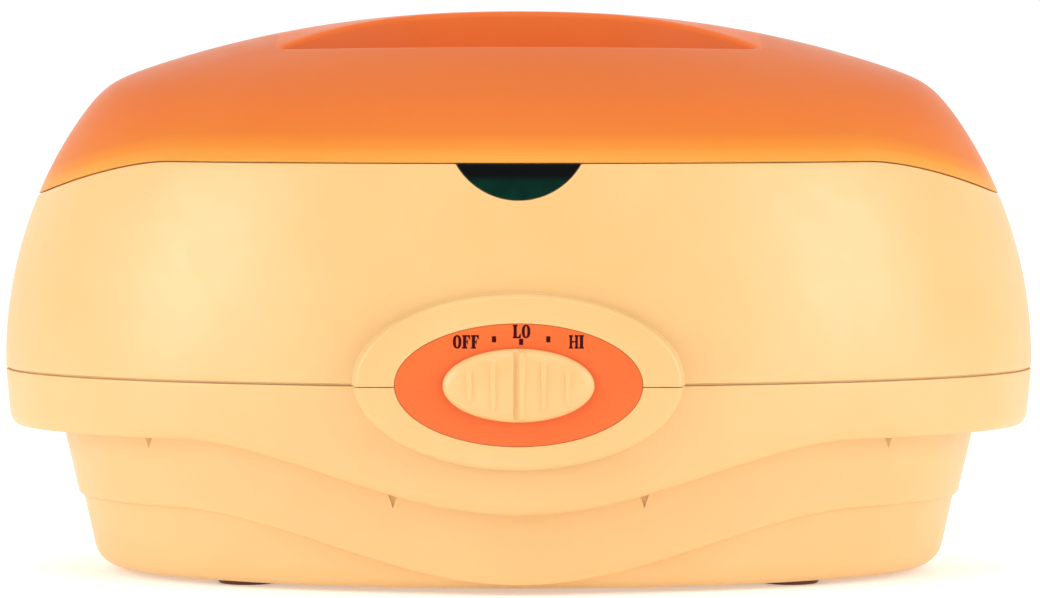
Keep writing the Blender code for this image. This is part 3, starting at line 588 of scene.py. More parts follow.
def joined(name, pieces):
    """Several meshes as one object."""
    work = bmesh.new()
    for made in pieces:
        work.from_mesh(made.data)
        bpy.data.objects.remove(made)
    data = bpy.data.meshes.new(name)
    work.to_mesh(data)
    work.free()
    return placed(name, smooth(data))


# ---------------------------------------------------------------- materials


class Nodes:
    """Builds one material's node tree around its Principled shader."""

    def __init__(self, name):
        self.material = bpy.data.materials.new(name)
        self.material.use_nodes = True
        self.tree = self.material.node_tree
        self.shader = self.tree.nodes["Principled BSDF"]
        self.place = self.tree.nodes.new("ShaderNodeTexCoord").outputs["Object"]

    def link(self, source, target):
        self.tree.links.new(source, target)

    def set(self, **values):
        for name, value in values.items():
            self.shader.inputs[name.replace("_", " ")].default_value = value

    def noise(self, size, detail=3.0, stretch=(1, 1, 1)):
        """A pattern whose features are about this size in metres."""
        mapping = self.tree.nodes.new("ShaderNodeMapping")
        mapping.inputs["Scale"].default_value = stretch
        self.link(self.place, mapping.inputs["Vector"])
        made = self.tree.nodes.new("ShaderNodeTexNoise")
        made.inputs["Scale"].default_value = 1 / size
        made.inputs["Detail"].default_value = detail
        self.link(mapping.outputs["Vector"], made.inputs["Vector"])
        return made.outputs["Fac"]

    def spread(self, source, low, high, start=0.3, stop=0.7):
        """Maps a pattern onto a range of values."""
        made = self.tree.nodes.new("ShaderNodeMapRange")
        for name, value in (("From Min", start), ("From Max", stop), ("To Min", low), ("To Max", high)):
            made.inputs[name].default_value = value
        self.link(source, made.inputs["Value"])
        return made.outputs["Result"]

    def ramp(self, source, stops):
        """Colours along a value, from pairs of position and linear colour."""
        made = self.tree.nodes.new("ShaderNodeValToRGB")
        steps = made.color_ramp.elements
        while len(steps) < len(stops):
            steps.new(0.5)
        for step, (position, colour) in zip(steps, stops):
            step.position = position
            step.color = (*colour, 1)
        self.link(source, made.inputs["Fac"])
        return made.outputs["Color"]

    def attribute(self, name):
        made = self.tree.nodes.new("ShaderNodeAttribute")
        made.attribute_name = name
        return made.outputs["Fac"]

    def blend(self, share, first, second):
        """Mixes two colours or colour outputs by a value."""
        made = self.tree.nodes.new("ShaderNodeMix")
        made.data_type = "RGBA"
        self.link(share, made.inputs["Factor"])
        for socket, colour in (("A", first), ("B", second)):
            target = [entry for entry in made.inputs if entry.name == socket and entry.type == "RGBA"][0]
            if isinstance(colour, tuple):
                target.default_value = (*colour, 1)
            else:
                self.link(colour, target)
        return [entry for entry in made.outputs if entry.type == "RGBA"][0]

    def colour(self, source):
        self.link(source, self.shader.inputs["Base Color"])

    def roughness(self, source):
        self.link(source, self.shader.inputs["Roughness"])

    def bump(self, source, height, strength=1.0):
        made = self.tree.nodes.new("ShaderNodeBump")
        made.inputs["Distance"].default_value = height
        made.inputs["Strength"].default_value = strength
        self.link(source, made.inputs["Height"])
        self.link(made.outputs["Normal"], self.shader.inputs["Normal"])


def srgb(red, green, blue):
    """A linear colour from its display values from 0 to 255."""
    values = [value / 255 for value in (red, green, blue)]
    return tuple(v / 12.92 if v <= 0.04045 else ((v + 0.055) / 1.055) ** 2.4 for v in values)


def moulded(name, base, shade, roughness, grain=0.35 * MM, depth=0.006 * MM, soft=0.0, shine=0.5):
    """Moulded plastic: faint flow marks in colour and gloss over a fine sprayed-on texture."""
    made = Nodes(name)
    flow = made.noise(45 * MM, 4)
    made.colour(made.blend(made.spread(flow, 0, 1), srgb(*base), srgb(*shade)))
    made.roughness(made.spread(made.noise(9 * MM, 5), roughness - 0.05, roughness + 0.05))
    made.bump(made.noise(grain, 2), depth)
    made.set(Subsurface_Weight=soft, Subsurface_Scale=0.004, Specular_IOR_Level=shine)
    made.set(Subsurface_Radius=(1.0, 0.55, 0.25), IOR=1.46)
    return made.material


def lid_plastic():
    """Tinted plastic whose colour paints in the light it would let through: painted light near the seam,
    where the cream upstand stands behind, and less painted light between the lips.
    """
    made = Nodes("tinted_lid_painted_light")
    above = made.spread(made.attribute("above_seam"), 0, 1, 0, PAINTED_LIGHT_SPAN)
    # Painted light: brighter and yellower near the seam, fading to the plain orange towards the crest.
    stops = (
        (0.0, srgb(232, 161, 73)),
        (0.09, srgb(231, 151, 61)),
        (0.12, srgb(230, 141, 53)),
        (0.17, srgb(228, 134, 50)),
        (0.23, srgb(223, 123, 50)),
        (0.4, srgb(222, 118, 52)),
        (0.56, srgb(218, 115, 54)),
        (0.9, srgb(215, 110, 54)),
    )
    body = made.ramp(above, stops)
    # In the scoops and over the bar one flat orange replaces the painted light ramp, with less painted
    # light than near the seam.
    grip = made.blend(made.attribute("grip"), body, srgb(229, 115, 54))
    flow = made.spread(made.noise(60 * MM, 4), 0, 0.12)
    made.colour(made.blend(flow, grip, srgb(194, 91, 37)))
    made.roughness(made.spread(made.noise(14 * MM, 4), 0.30, 0.38))
    made.bump(made.noise(0.8 * MM, 2), 0.004 * MM)
    made.set(Subsurface_Weight=0.2, Subsurface_Scale=0.005, Subsurface_Radius=(1.0, 0.35, 0.1))
    made.set(Specular_IOR_Level=0.09, IOR=1.49)
    return made.material


def smoked_lens_painted_light():
    """Smoked green plastic whose colour carries painted light: painted shade turns it black near its top,
    and lower down its streaky dark teal stands partly for its own tint and partly for a painted glow of the
    lamp behind it.
    """
    made = Nodes("smoked_lens_painted_light")
    split = made.tree.nodes.new("ShaderNodeSeparateXYZ")
    made.link(made.place, split.inputs["Vector"])
    height = made.spread(split.outputs["Z"], 0, 1, 139 * MM, 152 * MM)
    streaks = made.spread(made.noise(5 * MM, 4, (1, 1, 0.5)), 0, 0.5)
    low = made.blend(streaks, srgb(0, 36, 28), srgb(4, 56, 42))
    # Painted shade: black from about two thirds of the way up; painted lamp glow in the teal below.
    stops = ((0.0, (1, 1, 1)), (0.5, (0.7, 0.7, 0.7)), (0.66, (0, 0, 0)))
    lit = made.ramp(height, stops)
    made.colour(made.blend(lit, srgb(9, 10, 12), low))
    made.roughness(made.spread(made.noise(6 * MM, 3), 0.06, 0.12))
    made.set(IOR=1.18)
    made.bump(made.noise(1.5 * MM, 2), 0.003 * MM)
    return made.material


def metal_finish(name, colour, shade, roughness, stretch=(1, 1, 1), grain=0.6 * MM):
    """Bare metal with fine drawn or spun marks."""
    made = Nodes(name)
    marks = made.noise(grain, 5, stretch)
    made.colour(made.blend(made.spread(made.noise(20 * MM, 4), 0, 1), srgb(*colour), srgb(*shade)))
    made.roughness(made.spread(marks, roughness - 0.08, roughness + 0.1))
    made.bump(marks, 0.004 * MM)
    made.set(Metallic=1.0)
    return made.material


def fibrous(name, colour, shade, size, depth, roughness=0.9):
    """Felt, braid or rubber: a coarse matt surface."""
    made = Nodes(name)
    fibres = made.noise(size, 6, (1, 1, 2.5))
    made.colour(made.blend(made.spread(fibres, 0, 1), srgb(*colour), srgb(*shade)))
    made.roughness(made.spread(fibres, roughness - 0.1, min(roughness + 0.08, 1)))
    made.bump(fibres, depth)
    return made.material


cream = moulded("cream_plastic", (233, 188, 122), (231, 183, 115), 0.38, soft=0.2, shine=0.9)
bezel = moulded("orange_plastic", (236, 104, 36), (231, 98, 32), 0.42, soft=0.05)
tray_plastic = moulded("pale_plastic", (232, 226, 212), (224, 217, 202), 0.5, soft=0.15)
ink = moulded("printed_ink", (64, 0, 10), (54, 0, 8), 0.6)
ink.node_tree.nodes["Principled BSDF"].inputs["IOR"].default_value = 1.2
smoked = smoked_lens_painted_light()
metal = metal_finish("spun_aluminium", (214, 215, 218), (200, 202, 206), 0.3, (1, 1, 9), 1.2 * MM)
steel = metal_finish("zinc_plate", (186, 188, 192), (168, 172, 178), 0.34)
copper = metal_finish("drawn_copper", (205, 130, 95), (186, 110, 78), 0.3, (0.3, 1, 1))
rubber = fibrous("matt_rubber", (48, 30, 26), (36, 22, 20), 0.7 * MM, 0.02 * MM, 0.75)
foot_rubber = fibrous("foot_rubber", (112, 66, 42), (98, 56, 36), 0.7 * MM, 0.02 * MM, 0.75)
silicone = moulded("silicone", (196, 190, 176), (186, 180, 166), 0.6)
felt = fibrous("needled_felt", (206, 202, 190), (182, 177, 163), 1.6 * MM, 0.25 * MM, 0.95)
sleeve = fibrous("braided_sleeve", (202, 196, 184), (170, 163, 150), 0.5 * MM, 0.08 * MM, 0.8)
black = moulded("black_plastic", (26, 26, 28), (20, 20, 22), 0.45)
nylon = moulded("white_nylon", (226, 225, 216), (216, 214, 204), 0.4, soft=0.1)
CARRIED_OVER = {
    "lens_dark": smoked,
    "zinc_steel": steel,
    "copper_tube": copper,
    "seal_silicone": silicone,
    "felt_white": felt,
    "lead_sleeve": sleeve,
    "black_plastic": black,
    "white_nylon": nylon,
}


# ---------------------------------------------------------------- lid


def bar_edge(x):
    """Distance of the handle bar's side from the middle; it flares towards both ends."""
    flare = np.maximum(np.abs(x) - BAR_STRAIGHT, 0) / BAR_FLARE_SPAN
    return BAR_HALF + BAR_FLARE * flare**BAR_FLARE_POWER


def inside_scoop(x, y):
    """How far a place lies inside the outline of its finger scoop; negative outside it."""
    y = np.abs(y)
    share = np.maximum(np.hypot(x / SCOOP_RIM_X, y / SCOOP_RIM_Y), 0.01)
    steepness = np.hypot(x / SCOOP_RIM_X**2, y / SCOOP_RIM_Y**2) / share
    to_lip = (1 - share) / steepness
    step = 0.5 * MM
    slope = (bar_edge(np.abs(x) + step) - bar_edge(x)) / step
    to_bar = (y - bar_edge(x)) / np.sqrt(1 + slope**2)
    return smooth_min(to_lip, to_bar, SCOOP_CORNER)


def scoop_depth(x, y, surface, wall):
    """How deep the scoops are below a surface; wall grows them for the lid's inner side."""
    inside = inside_scoop(x, y) + wall
    steep = SCOOP_STEEPNESS * softplus(inside, SCOOP_LIP)
    room = surface - (SCOOP_FLOOR_Z - wall)
    depth = smooth_min(steep, room, SCOOP_FILLET)
    return np.where((inside > -SCOOP_APRON) & (room > SCOOP_APRON), np.maximum(depth, 0), 0)


def lid_height(x, y, outside):
    """Height of the lid's outer or inner side over a place on its plan."""
    surface = dome_height(x, y)
    if outside:
        return surface - scoop_depth(x, y, surface, 0)
    surface = np.maximum(surface - LID_WALL * dome_tilt(x, y), rim_below(x, y)[0] + LID_LIFT)
    return surface - scoop_depth(x, y, surface, LID_WALL)


def lid_side(skin, inset, rows, scoop_rows, bar_rows, outside):
    """One side of the lid: rings from its rim to the lip line, then columns between the lips."""
    rim = seam_point(turn(LID_COLUMNS), inset)
    rim_x, rim_y = rim[:, 0], rim[:, 1]
    lip_reach = 1 / np.hypot(rim_x / SCOOP_RIM_X, rim_y / SCOOP_RIM_Y)
    reach = mix(1, lip_reach, eased(rows)[:, None])
    x, y = rim_x * reach, rim_y * reach
    ring = skin.add(stack(x, y, lid_height(x, y, outside)))
    skin.sheet(ring, wrap=True)

    half = LID_COLUMNS // 2
    lip_x = x[-1, 1:half]
    lip_y = y[-1, 1:half]
    edge = np.minimum(bar_edge(lip_x), lip_y * BAR_LIMIT)
    into_scoop = mix(lip_y, edge, eased(scoop_rows)[1:, None])
    onto_bar = mix(edge, 0, eased(bar_rows)[1:, None])
    rear = np.vstack((into_scoop, onto_bar))
    across = np.vstack((rear, -rear[-2::-1]))
    along = np.broadcast_to(lip_x, across.shape)
    middle = skin.add(stack(along, across, lid_height(along, across, outside)))
    lips = ring[-1]
    columns = np.vstack((lips[1:half], middle, lips[:half:-1]))
    skin.sheet(columns)
    for pole, column in ((lips[0], columns[:, 0]), (lips[half], columns[:, -1])):
        column = column.tolist()
        skin.faces += [(a, b, int(pole)) for a, b in zip(column, column[1:])]
    return ring[0]


def make_lid():
    skin = Skin()
    outer = lid_side(skin, LID_LEAN, rows=64, scoop_rows=56, bar_rows=20, outside=True)
    inner = lid_side(skin, LID_WALL, rows=20, scoop_rows=18, bar_rows=8, outside=False)
    edge = [outer]
    for inset, rise in quarter(LID_ROUND)[1:]:
        lifted = seam_point(turn(LID_COLUMNS), LID_LEAN + inset) + (0, 0, LID_LIFT + rise)
        edge.append(skin.add(lifted))
    edge.append(inner)
    skin.sheet(edge, wrap=True)
    lid = skin.build("lid_shell", sharp=50)
    x, y, z = corners_of(lid).T
    # Height above the seam, which steers the lid's painted light ramp.
    write_attribute(lid, "above_seam", z - rim_below(x, y)[0])
    # Mask of the scoops and bar, where the lid's painted light gives way to one flat orange.
    behind_lip = np.clip(inside_scoop(x, y) / GRIP_BLEND + 0.5, 0, 1)
    over_bar = (np.abs(y) < bar_edge(x)) & (np.abs(x) < GRIP_END_X)
    write_attribute(lid, "grip", np.maximum(behind_lip, over_bar))
    return piece(lid, "lid", "lid_orange", lid_plastic(), "lid")


# ---------------------------------------------------------------- housings


def dome_point(angle, reach):
    rim = seam_point(angle)
    return stack(rim[:, 0] * reach, rim[:, 1] * reach, dome_level(rim[:, 2], angle, reach))


def wall_angles():
    """Angles round the housings, closer together along the front middle with its window."""
    half_x = wall_half(SEAM_Z)[0]
    coarse = turn(WALL_COLUMNS)
    beside = (np.abs(half_x * np.cos(coarse)) > DENSE_HALF) | (coarse < math.pi)
    dense = np.linspace(-DENSE_HALF, DENSE_HALF, DENSE_COLUMNS)
    return np.sort(np.concatenate((coarse[beside], math.tau - np.arccos(dense / half_x))))


def window_edge(angles, top):
    """Height of the front wall's upper edge: the seam, or the window's round lower edge."""
    radius = LENS_R + GAP
    edge = top
    for _ in range(SETTLING):
        x = wall_point(angles, edge)[:, 0]
        sag = np.sqrt(np.maximum(radius**2 - x**2, 0))
        inside = (np.abs(x) < radius) & (np.sin(angles) < 0)
        edge = np.where(inside, np.minimum(top, LENS_Z - sag), top)
    return edge


def upstand_rows(angles, rim):
    """Rows up the outside of the upstand, over its rounded crest and down to the deck."""
    step = 0.001
    around = dome_point(angles + step, 1.0) - dome_point(angles - step, 1.0)
    upward = dome_point(angles, 1 - step) - dome_point(angles, 1.0)
    inward = -np.cross(around, upward)
    inward /= np.linalg.norm(inward, axis=1)[:, None]
    slope = dome_point(angles, 0.97) - rim
    peak = rim + slope * (UPSTAND_RISE / slope[:, 2:])
    slope /= np.linalg.norm(slope, axis=1)[:, None]
    radius = (UPSTAND_IN - UPSTAND_OUT) / 2
    centre = peak + inward * (UPSTAND_OUT + radius) - slope * radius
    foot = rim + inward * UPSTAND_OUT
    foot[:, 2] = rim[:, 2] - HALF_GAP
    rows = [foot]
    for angle in np.linspace(0, math.pi, 7):
        rows.append(centre + radius * (slope * math.sin(angle) - inward * math.cos(angle)))
    deck_edge = seam_point(angles, UPSTAND_IN + 0.5 * MM)
    deck_edge[:, 2] = np.minimum(DECK_Z, rim[:, 2] + 4 * MM)
    rows.append(deck_edge)
    return rows


def make_upper_shell():
    angles = wall_angles()
    rim = seam_point(angles)
    bottom = PARTING_Z + HALF_GAP
    top = rim[:, 2] - HALF_GAP
    edge = window_edge(angles, top)
    in_window = (edge < top - 0.02 * MM)[:, None]
    depth, height = SEAM_GROOVE
    rows = [wall_point(angles, bottom, depth), wall_point(angles, bottom + height, depth)]
    low = bottom + height
    rows += [wall_point(angles, low + rise, inset) for inset, rise in quarter(RECESS_ROUND)[::-1]]
    for share in np.linspace(0, 1, WALL_ROWS)[1:]:
        rows.append(wall_point(angles, mix(low + RECESS_ROUND, edge - EDGE_ROUND, share)))
    for inset, drop in quarter(EDGE_ROUND)[1:]:
        rows.append(wall_point(angles, edge - drop, inset))
    side = rows[-1]
    for share in LEDGE_SHARES:
        ledge = wall_point(angles, top, mix(EDGE_ROUND, UPSTAND_OUT - LEDGE_CLEAR, share))
        inner = min(share / POCKET_SHARE, 1.0)
        height = mix(edge, top, max((share - POCKET_SHARE) / (1 - POCKET_SHARE), 0.0))
        pocket = stack(side[:, 0], mix(side[:, 1], POCKET_Y, inner), height)
        rows.append(np.where(in_window, pocket, ledge))
    rows += upstand_rows(angles, rim)
    for z in (DECK_Z, DECK_Z - WALL):
        rows.append(stack(*ellipse(*DECK_HALF, angles, BASIN_POWER), z))
    under = np.minimum(DECK_Z - WALL, top - WALL)
    tongue = bottom + UPPER_LIP[0]
    rows += [wall_point(angles, mix(under, tongue, share), WALL) for share in (0, 0.33, 0.67, 1)]
    rows += [wall_point(angles, z, UPPER_LIP[1]) for z in (tongue, bottom)]
    skin = Skin()
    skin.hollow(rows)
    shell = skin.build("upper_shell")
    skin = Skin()
    slot(skin)
    cut_out(shell, skin.build("slot_cutter"))
    return piece(shell, "housing", "housing_cream", cream, "upper_housing")


def slot(skin):
    """The space that the knob's stem slides in, through pad and walls."""
    front, back = SLOT_CUT_Y
    low = (-SLOT_HALF[0], front, CONTROL_Z - SLOT_HALF[1])
    box_skin(skin, low, (SLOT_HALF[0], back, CONTROL_Z + SLOT_HALF[1]))


def make_lower_shell():
    angles = wall_angles()
    top = PARTING_Z - HALF_GAP
    waves = [tier_edge(tier, angles) for tier in (0, 1)]
    rows = [tier_point(0, angles, top - drop, inset) for inset, drop in quarter(EDGE_ROUND)[::-1]]
    skirt = waves[0] + SKIRT_ROUND[1]
    for share in np.linspace(0, 1, TIER_ROWS)[1:]:
        rows.append(tier_point(0, angles, mix(top - EDGE_ROUND, skirt, share)))
    rows += [tier_point(0, angles, waves[0] + rise, inset) for inset, rise in quarter(SKIRT_ROUND, 9)[1:]]
    rows += [tier_point(1, angles, waves[0] - below, -away) for below, away in quarter(NECK_FILLET)]
    step_top = waves[1] + STEP_ROUND
    for share in np.linspace(0, 1, TIER_ROWS)[1:]:
        rows.append(tier_point(1, angles, mix(waves[0] - NECK_FILLET, step_top, share)))
    for inset, drop in quarter(STEP_ROUND)[1:]:
        rows.append(tier_point(1, angles, waves[1] + drop, inset))
    low = BASE_Z + BASE_FILLET
    rows += [tier_point(2, angles, mix(waves[1], low, k / 8)) for k in range(9)]
    for inset, drop in quarter(BASE_FILLET, 7)[1:]:
        rows.append(tier_point(2, angles, BASE_Z + drop, inset))
    rows.append(stack(*ellipse(*UNDERSIDE_HALF, angles), BASE_Z))
    for radius, z in POST_PROFILE:
        rows.append(stack(*ellipse(radius * MM, radius * MM, angles), z * MM))
    floor = BASE_Z + WALL
    rows += [
        tier_point(2, angles, floor, WALL + 3 * MM),
        tier_point(2, angles, waves[1] + WALL, WALL),
        tier_point(1, angles, waves[1] + WALL, WALL),
        tier_point(1, angles, waves[0] + WALL, WALL),
        tier_point(0, angles, waves[0] + WALL, WALL + 0.8 * MM),
        tier_point(0, angles, top, WALL),
    ]
    rise, inset = LOWER_LIP
    rows.append(tier_point(0, angles, top + rise, WALL))
    rows += [tier_point(0, angles, z, inset) for z in (top + rise, top)]
    skin = Skin()
    skin.hollow(rows)
    shell = skin.build("lower_shell")
    cut_out(shell, lower_cutters())
    shell = joined("lower_shell", [shell, *screw_seats()])
    shell.data.materials.clear()
    return piece(shell, "housing", "housing_cream", cream, "lower_housing")


def screw_seats():
    """Raised rings on the shelf that the sunk screw heads bear on from below."""
    (hole, low), (rim, high) = SEAT
    seats = []
    for x, y in four_places(BOSS_AT):
        skin = Skin()
        loops = []
        for radius, z in ((hole, low), (rim, low), (rim, high), (hole, high)):
            across, along = ellipse(radius, radius, turn(48))
            loops.append(stack(x + across, y + along, z))
        skin.hollow(loops)
        seats.append(skin.build("screw_seat"))
    return seats


def lower_cutters():
    """The slot, the cord gland's hole and the small notches under the first wave, as one mesh."""
    skin = Skin()
    slot(skin)
    turned(skin, (0, 0, GLAND_Z), 1, [(GLAND_HOLE_R, y) for y in GLAND_HOLE_Y], 48)
    for x, y in four_places(BOSS_AT):
        well = ((SCREW_WELL_R, TIER_TOP_Z[1] - 4 * MM), (SCREW_WELL_R, SCREW_Z + 0.5 * MM))
        turned(skin, (x, y, 0), 2, well, 48)
    for side in (-1, 1):
        for x in (-NOTCH_X[1], -NOTCH_X[0], NOTCH_X[0], NOTCH_X[1]):
            notch(skin, x, side)
    return skin.build("lower_cutters")


def notch(skin, x, side):
    """A shallow wedge that narrows downwards, cut into the wall under the first wave."""
    level = TIER_TOP_Z[1] - WAVE_DROP[0] * wave(x)
    fall = TIER_TOP_Z[1] - level
    half_x = TIER_HALF[1][0] - TIER_DRAFT[1][0] * fall
    half_y = TIER_HALF[1][1] - TIER_DRAFT[1][1] * fall
    y = side * half_y * math.sqrt(1 - (x / half_x) ** 2)
    top = level + NECK_FILLET
    corners = ((-NOTCH_HALF, top), (NOTCH_HALF, top), (0, level - NOTCH_DROP))
    ends = (NOTCH_START, NOTCH_DEPTH)
    skin.solid([[(x + dx, y - side * depth, z) for dx, z in corners] for depth in ends])


def cut_ring(half_x, half_y, centre_z, cut_z, upward, power=2.0):
    """X and Z of the part of an upright oval on one side of the parting seam."""
    height = (cut_z - centre_z) / half_y
    start = math.copysign(math.asin(min(abs(height) ** (power / 2), 1)), height)
    stop = math.pi - start
    if not upward:
        start, stop = stop, start + math.tau
    x, z = ellipse(half_x, half_y, np.linspace(start, stop, PAD_STEPS), power)
    return x, centre_z + z


def make_pad(name, cut_z, upward, node):
    """Half of the raised pad, from its flare on the wall over its face to the slot."""
    rings = []

    def wall_behind(x, z):
        if upward:
            return front_y(x, z)
        half_x = TIER_HALF[0][0] - TIER_DRAFT[0][0] * (PARTING_Z - z)
        half_y = TIER_HALF[0][1] - TIER_DRAFT[0][1] * (PARTING_Z - z)
        return -half_y * np.sqrt(1 - (x / half_x) ** 2)

    for stand, out in quarter((PAD_FLARE_RISE, PAD_FLARE), 7):
        x, z = cut_ring(PAD_HALF[0] + out, PAD_HALF[1] + out, PAD_Z, cut_z, upward)
        rings.append(stack(x, wall_behind(x, z) - stand + SUNK, z))
    for turned_by in np.linspace(0, math.pi / 2, 9):
        inset = PAD_ROUND[0] * (1 - abs(math.cos(turned_by)) ** (2 / PAD_BULGE))
        y = PAD_FACE_Y + PAD_ROUND[1] * (1 - math.sin(turned_by) ** (2 / PAD_BULGE))
        x, z = cut_ring(PAD_HALF[0] - inset, PAD_HALF[1] - inset, PAD_Z, cut_z, upward)
        rings.append(stack(x, y, z))
    recess = (BEZEL_HALF[0] + BEZEL_GAP, BEZEL_HALF[1] + BEZEL_GAP)
    floor = PAD_FACE_Y + BEZEL_THICK + 2 * GAP
    levels = [(FACE_EDGE, PAD_FACE_Y)]
    levels += [(grow, PAD_FACE_Y + sunk) for sunk, grow in quarter(RECESS_ROUND, 4)]
    for grow, y in (*levels, (0, floor)):
        x, z = cut_ring(recess[0] + grow, recess[1] + grow, CONTROL_Z, cut_z, upward)
        rings.append(stack(x, y, z))
    for y in (floor, PAD_BACK_Y):
        x, z = cut_ring(*SLOT_HALF, CONTROL_Z, cut_z, upward, SLOT_POWER)
        rings.append(stack(x, y, z))
    x, z = cut_ring(*PAD_HALF, PAD_Z, cut_z, upward)
    rings.append(stack(x, PAD_BACK_Y, z))
    skin = Skin()
    numbers = skin.add(rings)
    skin.sheet(np.vstack((numbers, numbers[:1])))
    skin.cap(numbers[:, 0])
    skin.cap(numbers[::-1, -1])
    return piece(skin.build(name), "housing", "housing_cream", cream, node)


# ---------------------------------------------------------------- control and window


def make_bezel():
    back = PAD_FACE_Y + BEZEL_THICK
    angles = turn(CONTROL_STEPS)
    levels = [(BEZEL_HALF, 0, back, 2.0)]
    for inset, drop in quarter(BEZEL_ROUND):
        levels.append((BEZEL_HALF, inset, PAD_FACE_Y + drop, 2.0))
    for inset, drop in quarter(BEZEL_ROUND)[::-1]:
        levels.append((SLOT_HALF, -inset, PAD_FACE_Y + drop, SLOT_POWER))
    levels.append((SLOT_HALF, 0, back, SLOT_POWER))
    rings = []
    for half, inset, y, power in levels:
        x, z = ellipse(half[0] - inset, half[1] - inset, angles, power)
        rings.append(stack(x, y, CONTROL_Z + z))
    skin = Skin()
    skin.hollow(rings)
    piece(skin.build("bezel_ring"), "housing", "bezel_orange", bezel, "control_bezel")


def bump_at(x, middle, half):
    return np.exp(-(((x - middle) / half) ** BUMP_POWER))


def knob_face(x, z):
    """How far the knob stands out at a place: a dome with ribs and a pointer."""
    share = np.clip((x / KNOB_HALF[0]) ** 2 + (z / KNOB_HALF[1]) ** 2, 0, 1) ** 0.5
    full = KNOB_BACK_Y - KNOB_FRONT_Y - KNOB_SIDE
    rise = KNOB_SIDE + (full - KNOB_HEADROOM) * (1 - share ** DOME_POWER[0]) ** DOME_POWER[1]
    for middle, reach in zip(RIB_X, RIB_REACH):
        fade = 1 / (1 + np.exp((np.abs(z) - reach) / RIB_FADE))
        rise += RIB_HEIGHT * bump_at(np.abs(x), middle, RIB_HALF) * fade
    fade = 1 / (1 + np.exp((np.abs(z) - POINTER_REACH * KNOB_HALF[1]) / POINTER_FADE))
    groove = bump_at(x, GROOVE_X, POINTER_HALF)
    ridge = bump_at(x, RIDGE_X, POINTER_HALF) - GROOVE_SHARE * groove
    return rise + RIDGE_HEIGHT * ridge * fade


def make_knob():
    """A domed oval button with raised ribs, a pointer, and a stem through the slot."""
    ends = KNOB_HALF[0] * np.sin(np.linspace(-math.pi / 2, math.pi / 2, 100))[1:-1]
    ribs = np.linspace(-1.5, 1.5, 25) * MM
    places = [middle * side + ribs for middle in RIB_X for side in (-1, 1)]
    x = np.unique(np.round(np.concatenate((ends, *places, ribs * 1.9)), 7))
    half_z = KNOB_HALF[1] * np.sqrt(1 - (x / KNOB_HALF[0]) ** 2)
    z = half_z * np.sin(np.linspace(-math.pi / 2, math.pi / 2, KNOB_ROWS))[:, None]
    x = np.broadcast_to(x, z.shape)
    skin = Skin()
    face = skin.add(stack(x, KNOB_BACK_Y - knob_face(x, z), CONTROL_Z + z))
    skin.sheet(face)
    tips = skin.add([(side * KNOB_HALF[0], KNOB_BACK_Y - KNOB_SIDE, CONTROL_Z) for side in (-1, 1)])
    for tip, column in zip(tips.tolist(), (face[:, 0].tolist(), face[:, -1].tolist())):
        skin.faces += [(a, b, tip) for a, b in zip(column, column[1:])]
    rim = [*face[0].tolist(), int(tips[1]), *face[-1][::-1].tolist(), int(tips[0])]
    front = np.concatenate(skin.points)[rim]
    back = front.copy()
    back[:, 0] *= 1 - KNOB_UNDERCUT / KNOB_HALF[0]
    back[:, 1] = KNOB_BACK_Y
    back[:, 2] = CONTROL_Z + (back[:, 2] - CONTROL_Z) * (1 - KNOB_UNDERCUT / KNOB_HALF[1])
    behind = skin.add(back)
    skin.sheet(np.array((rim, behind)), wrap=True)
    skin.cap(behind)
    low = (-STEM_HALF[0], KNOB_BACK_Y - 0.5 * MM, CONTROL_Z - STEM_HALF[1])
    box_skin(skin, low, (STEM_HALF[0], STEM_BACK_Y, CONTROL_Z + STEM_HALF[1]))
    piece(skin.build("slide_knob", 40), "knob", "housing_cream", cream, "control_knob")


def border(grid):
    """The outer points of a grid, once round."""
    return np.concatenate((grid[0], grid[1:-1, -1], grid[-1, ::-1], grid[-2:0:-1, 0]))


def make_lens():
    """The window's half-moon, with its rounded edge, continuing the front wall."""
    top = SEAM_Z - HALF_GAP
    bottom = LENS_Z - LENS_R + GAP
    steps = np.linspace(-1, 1, 81)
    shares = eased(33)[:, None]
    rings = []
    for inset, drop in [(0, LENS_THICK), *quarter(LENS_ROUND)]:
        reach = LENS_R - inset
        low = LENS_Z - reach
        z = mix(low, top - inset, shares)
        half = np.sqrt(np.maximum(reach**2 - (LENS_Z - z) ** 2, 0))
        half = np.maximum(half, LENS_TIP)
        x = half * steps
        rings.append((x, z, drop))
    skin = Skin()
    loops = []
    for x, z, drop in rings:
        grid_z = np.broadcast_to(z, x.shape)
        points = stack(x, front_y(x, grid_z) + drop, grid_z)
        loops.append(border(points))
    front = skin.add(points)
    skin.sheet(front)
    numbers = skin.add(loops[:-1])
    skin.sheet(np.vstack((numbers, border(front))), wrap=True)
    skin.cap(numbers[0])
    piece(skin.build("window_lens"), "housing", "lens_dark", smoked, "indicator_lens")


def mirrored(corner):
    """A closed outline that is the same in all four quarters, from its points in one."""
    back = corner[::-1]
    lower = [(x, -z) for x, z in back]
    return [*corner, *lower, *[(-x, -z) for x, z in corner], *[(-x, z) for x, z in back]]


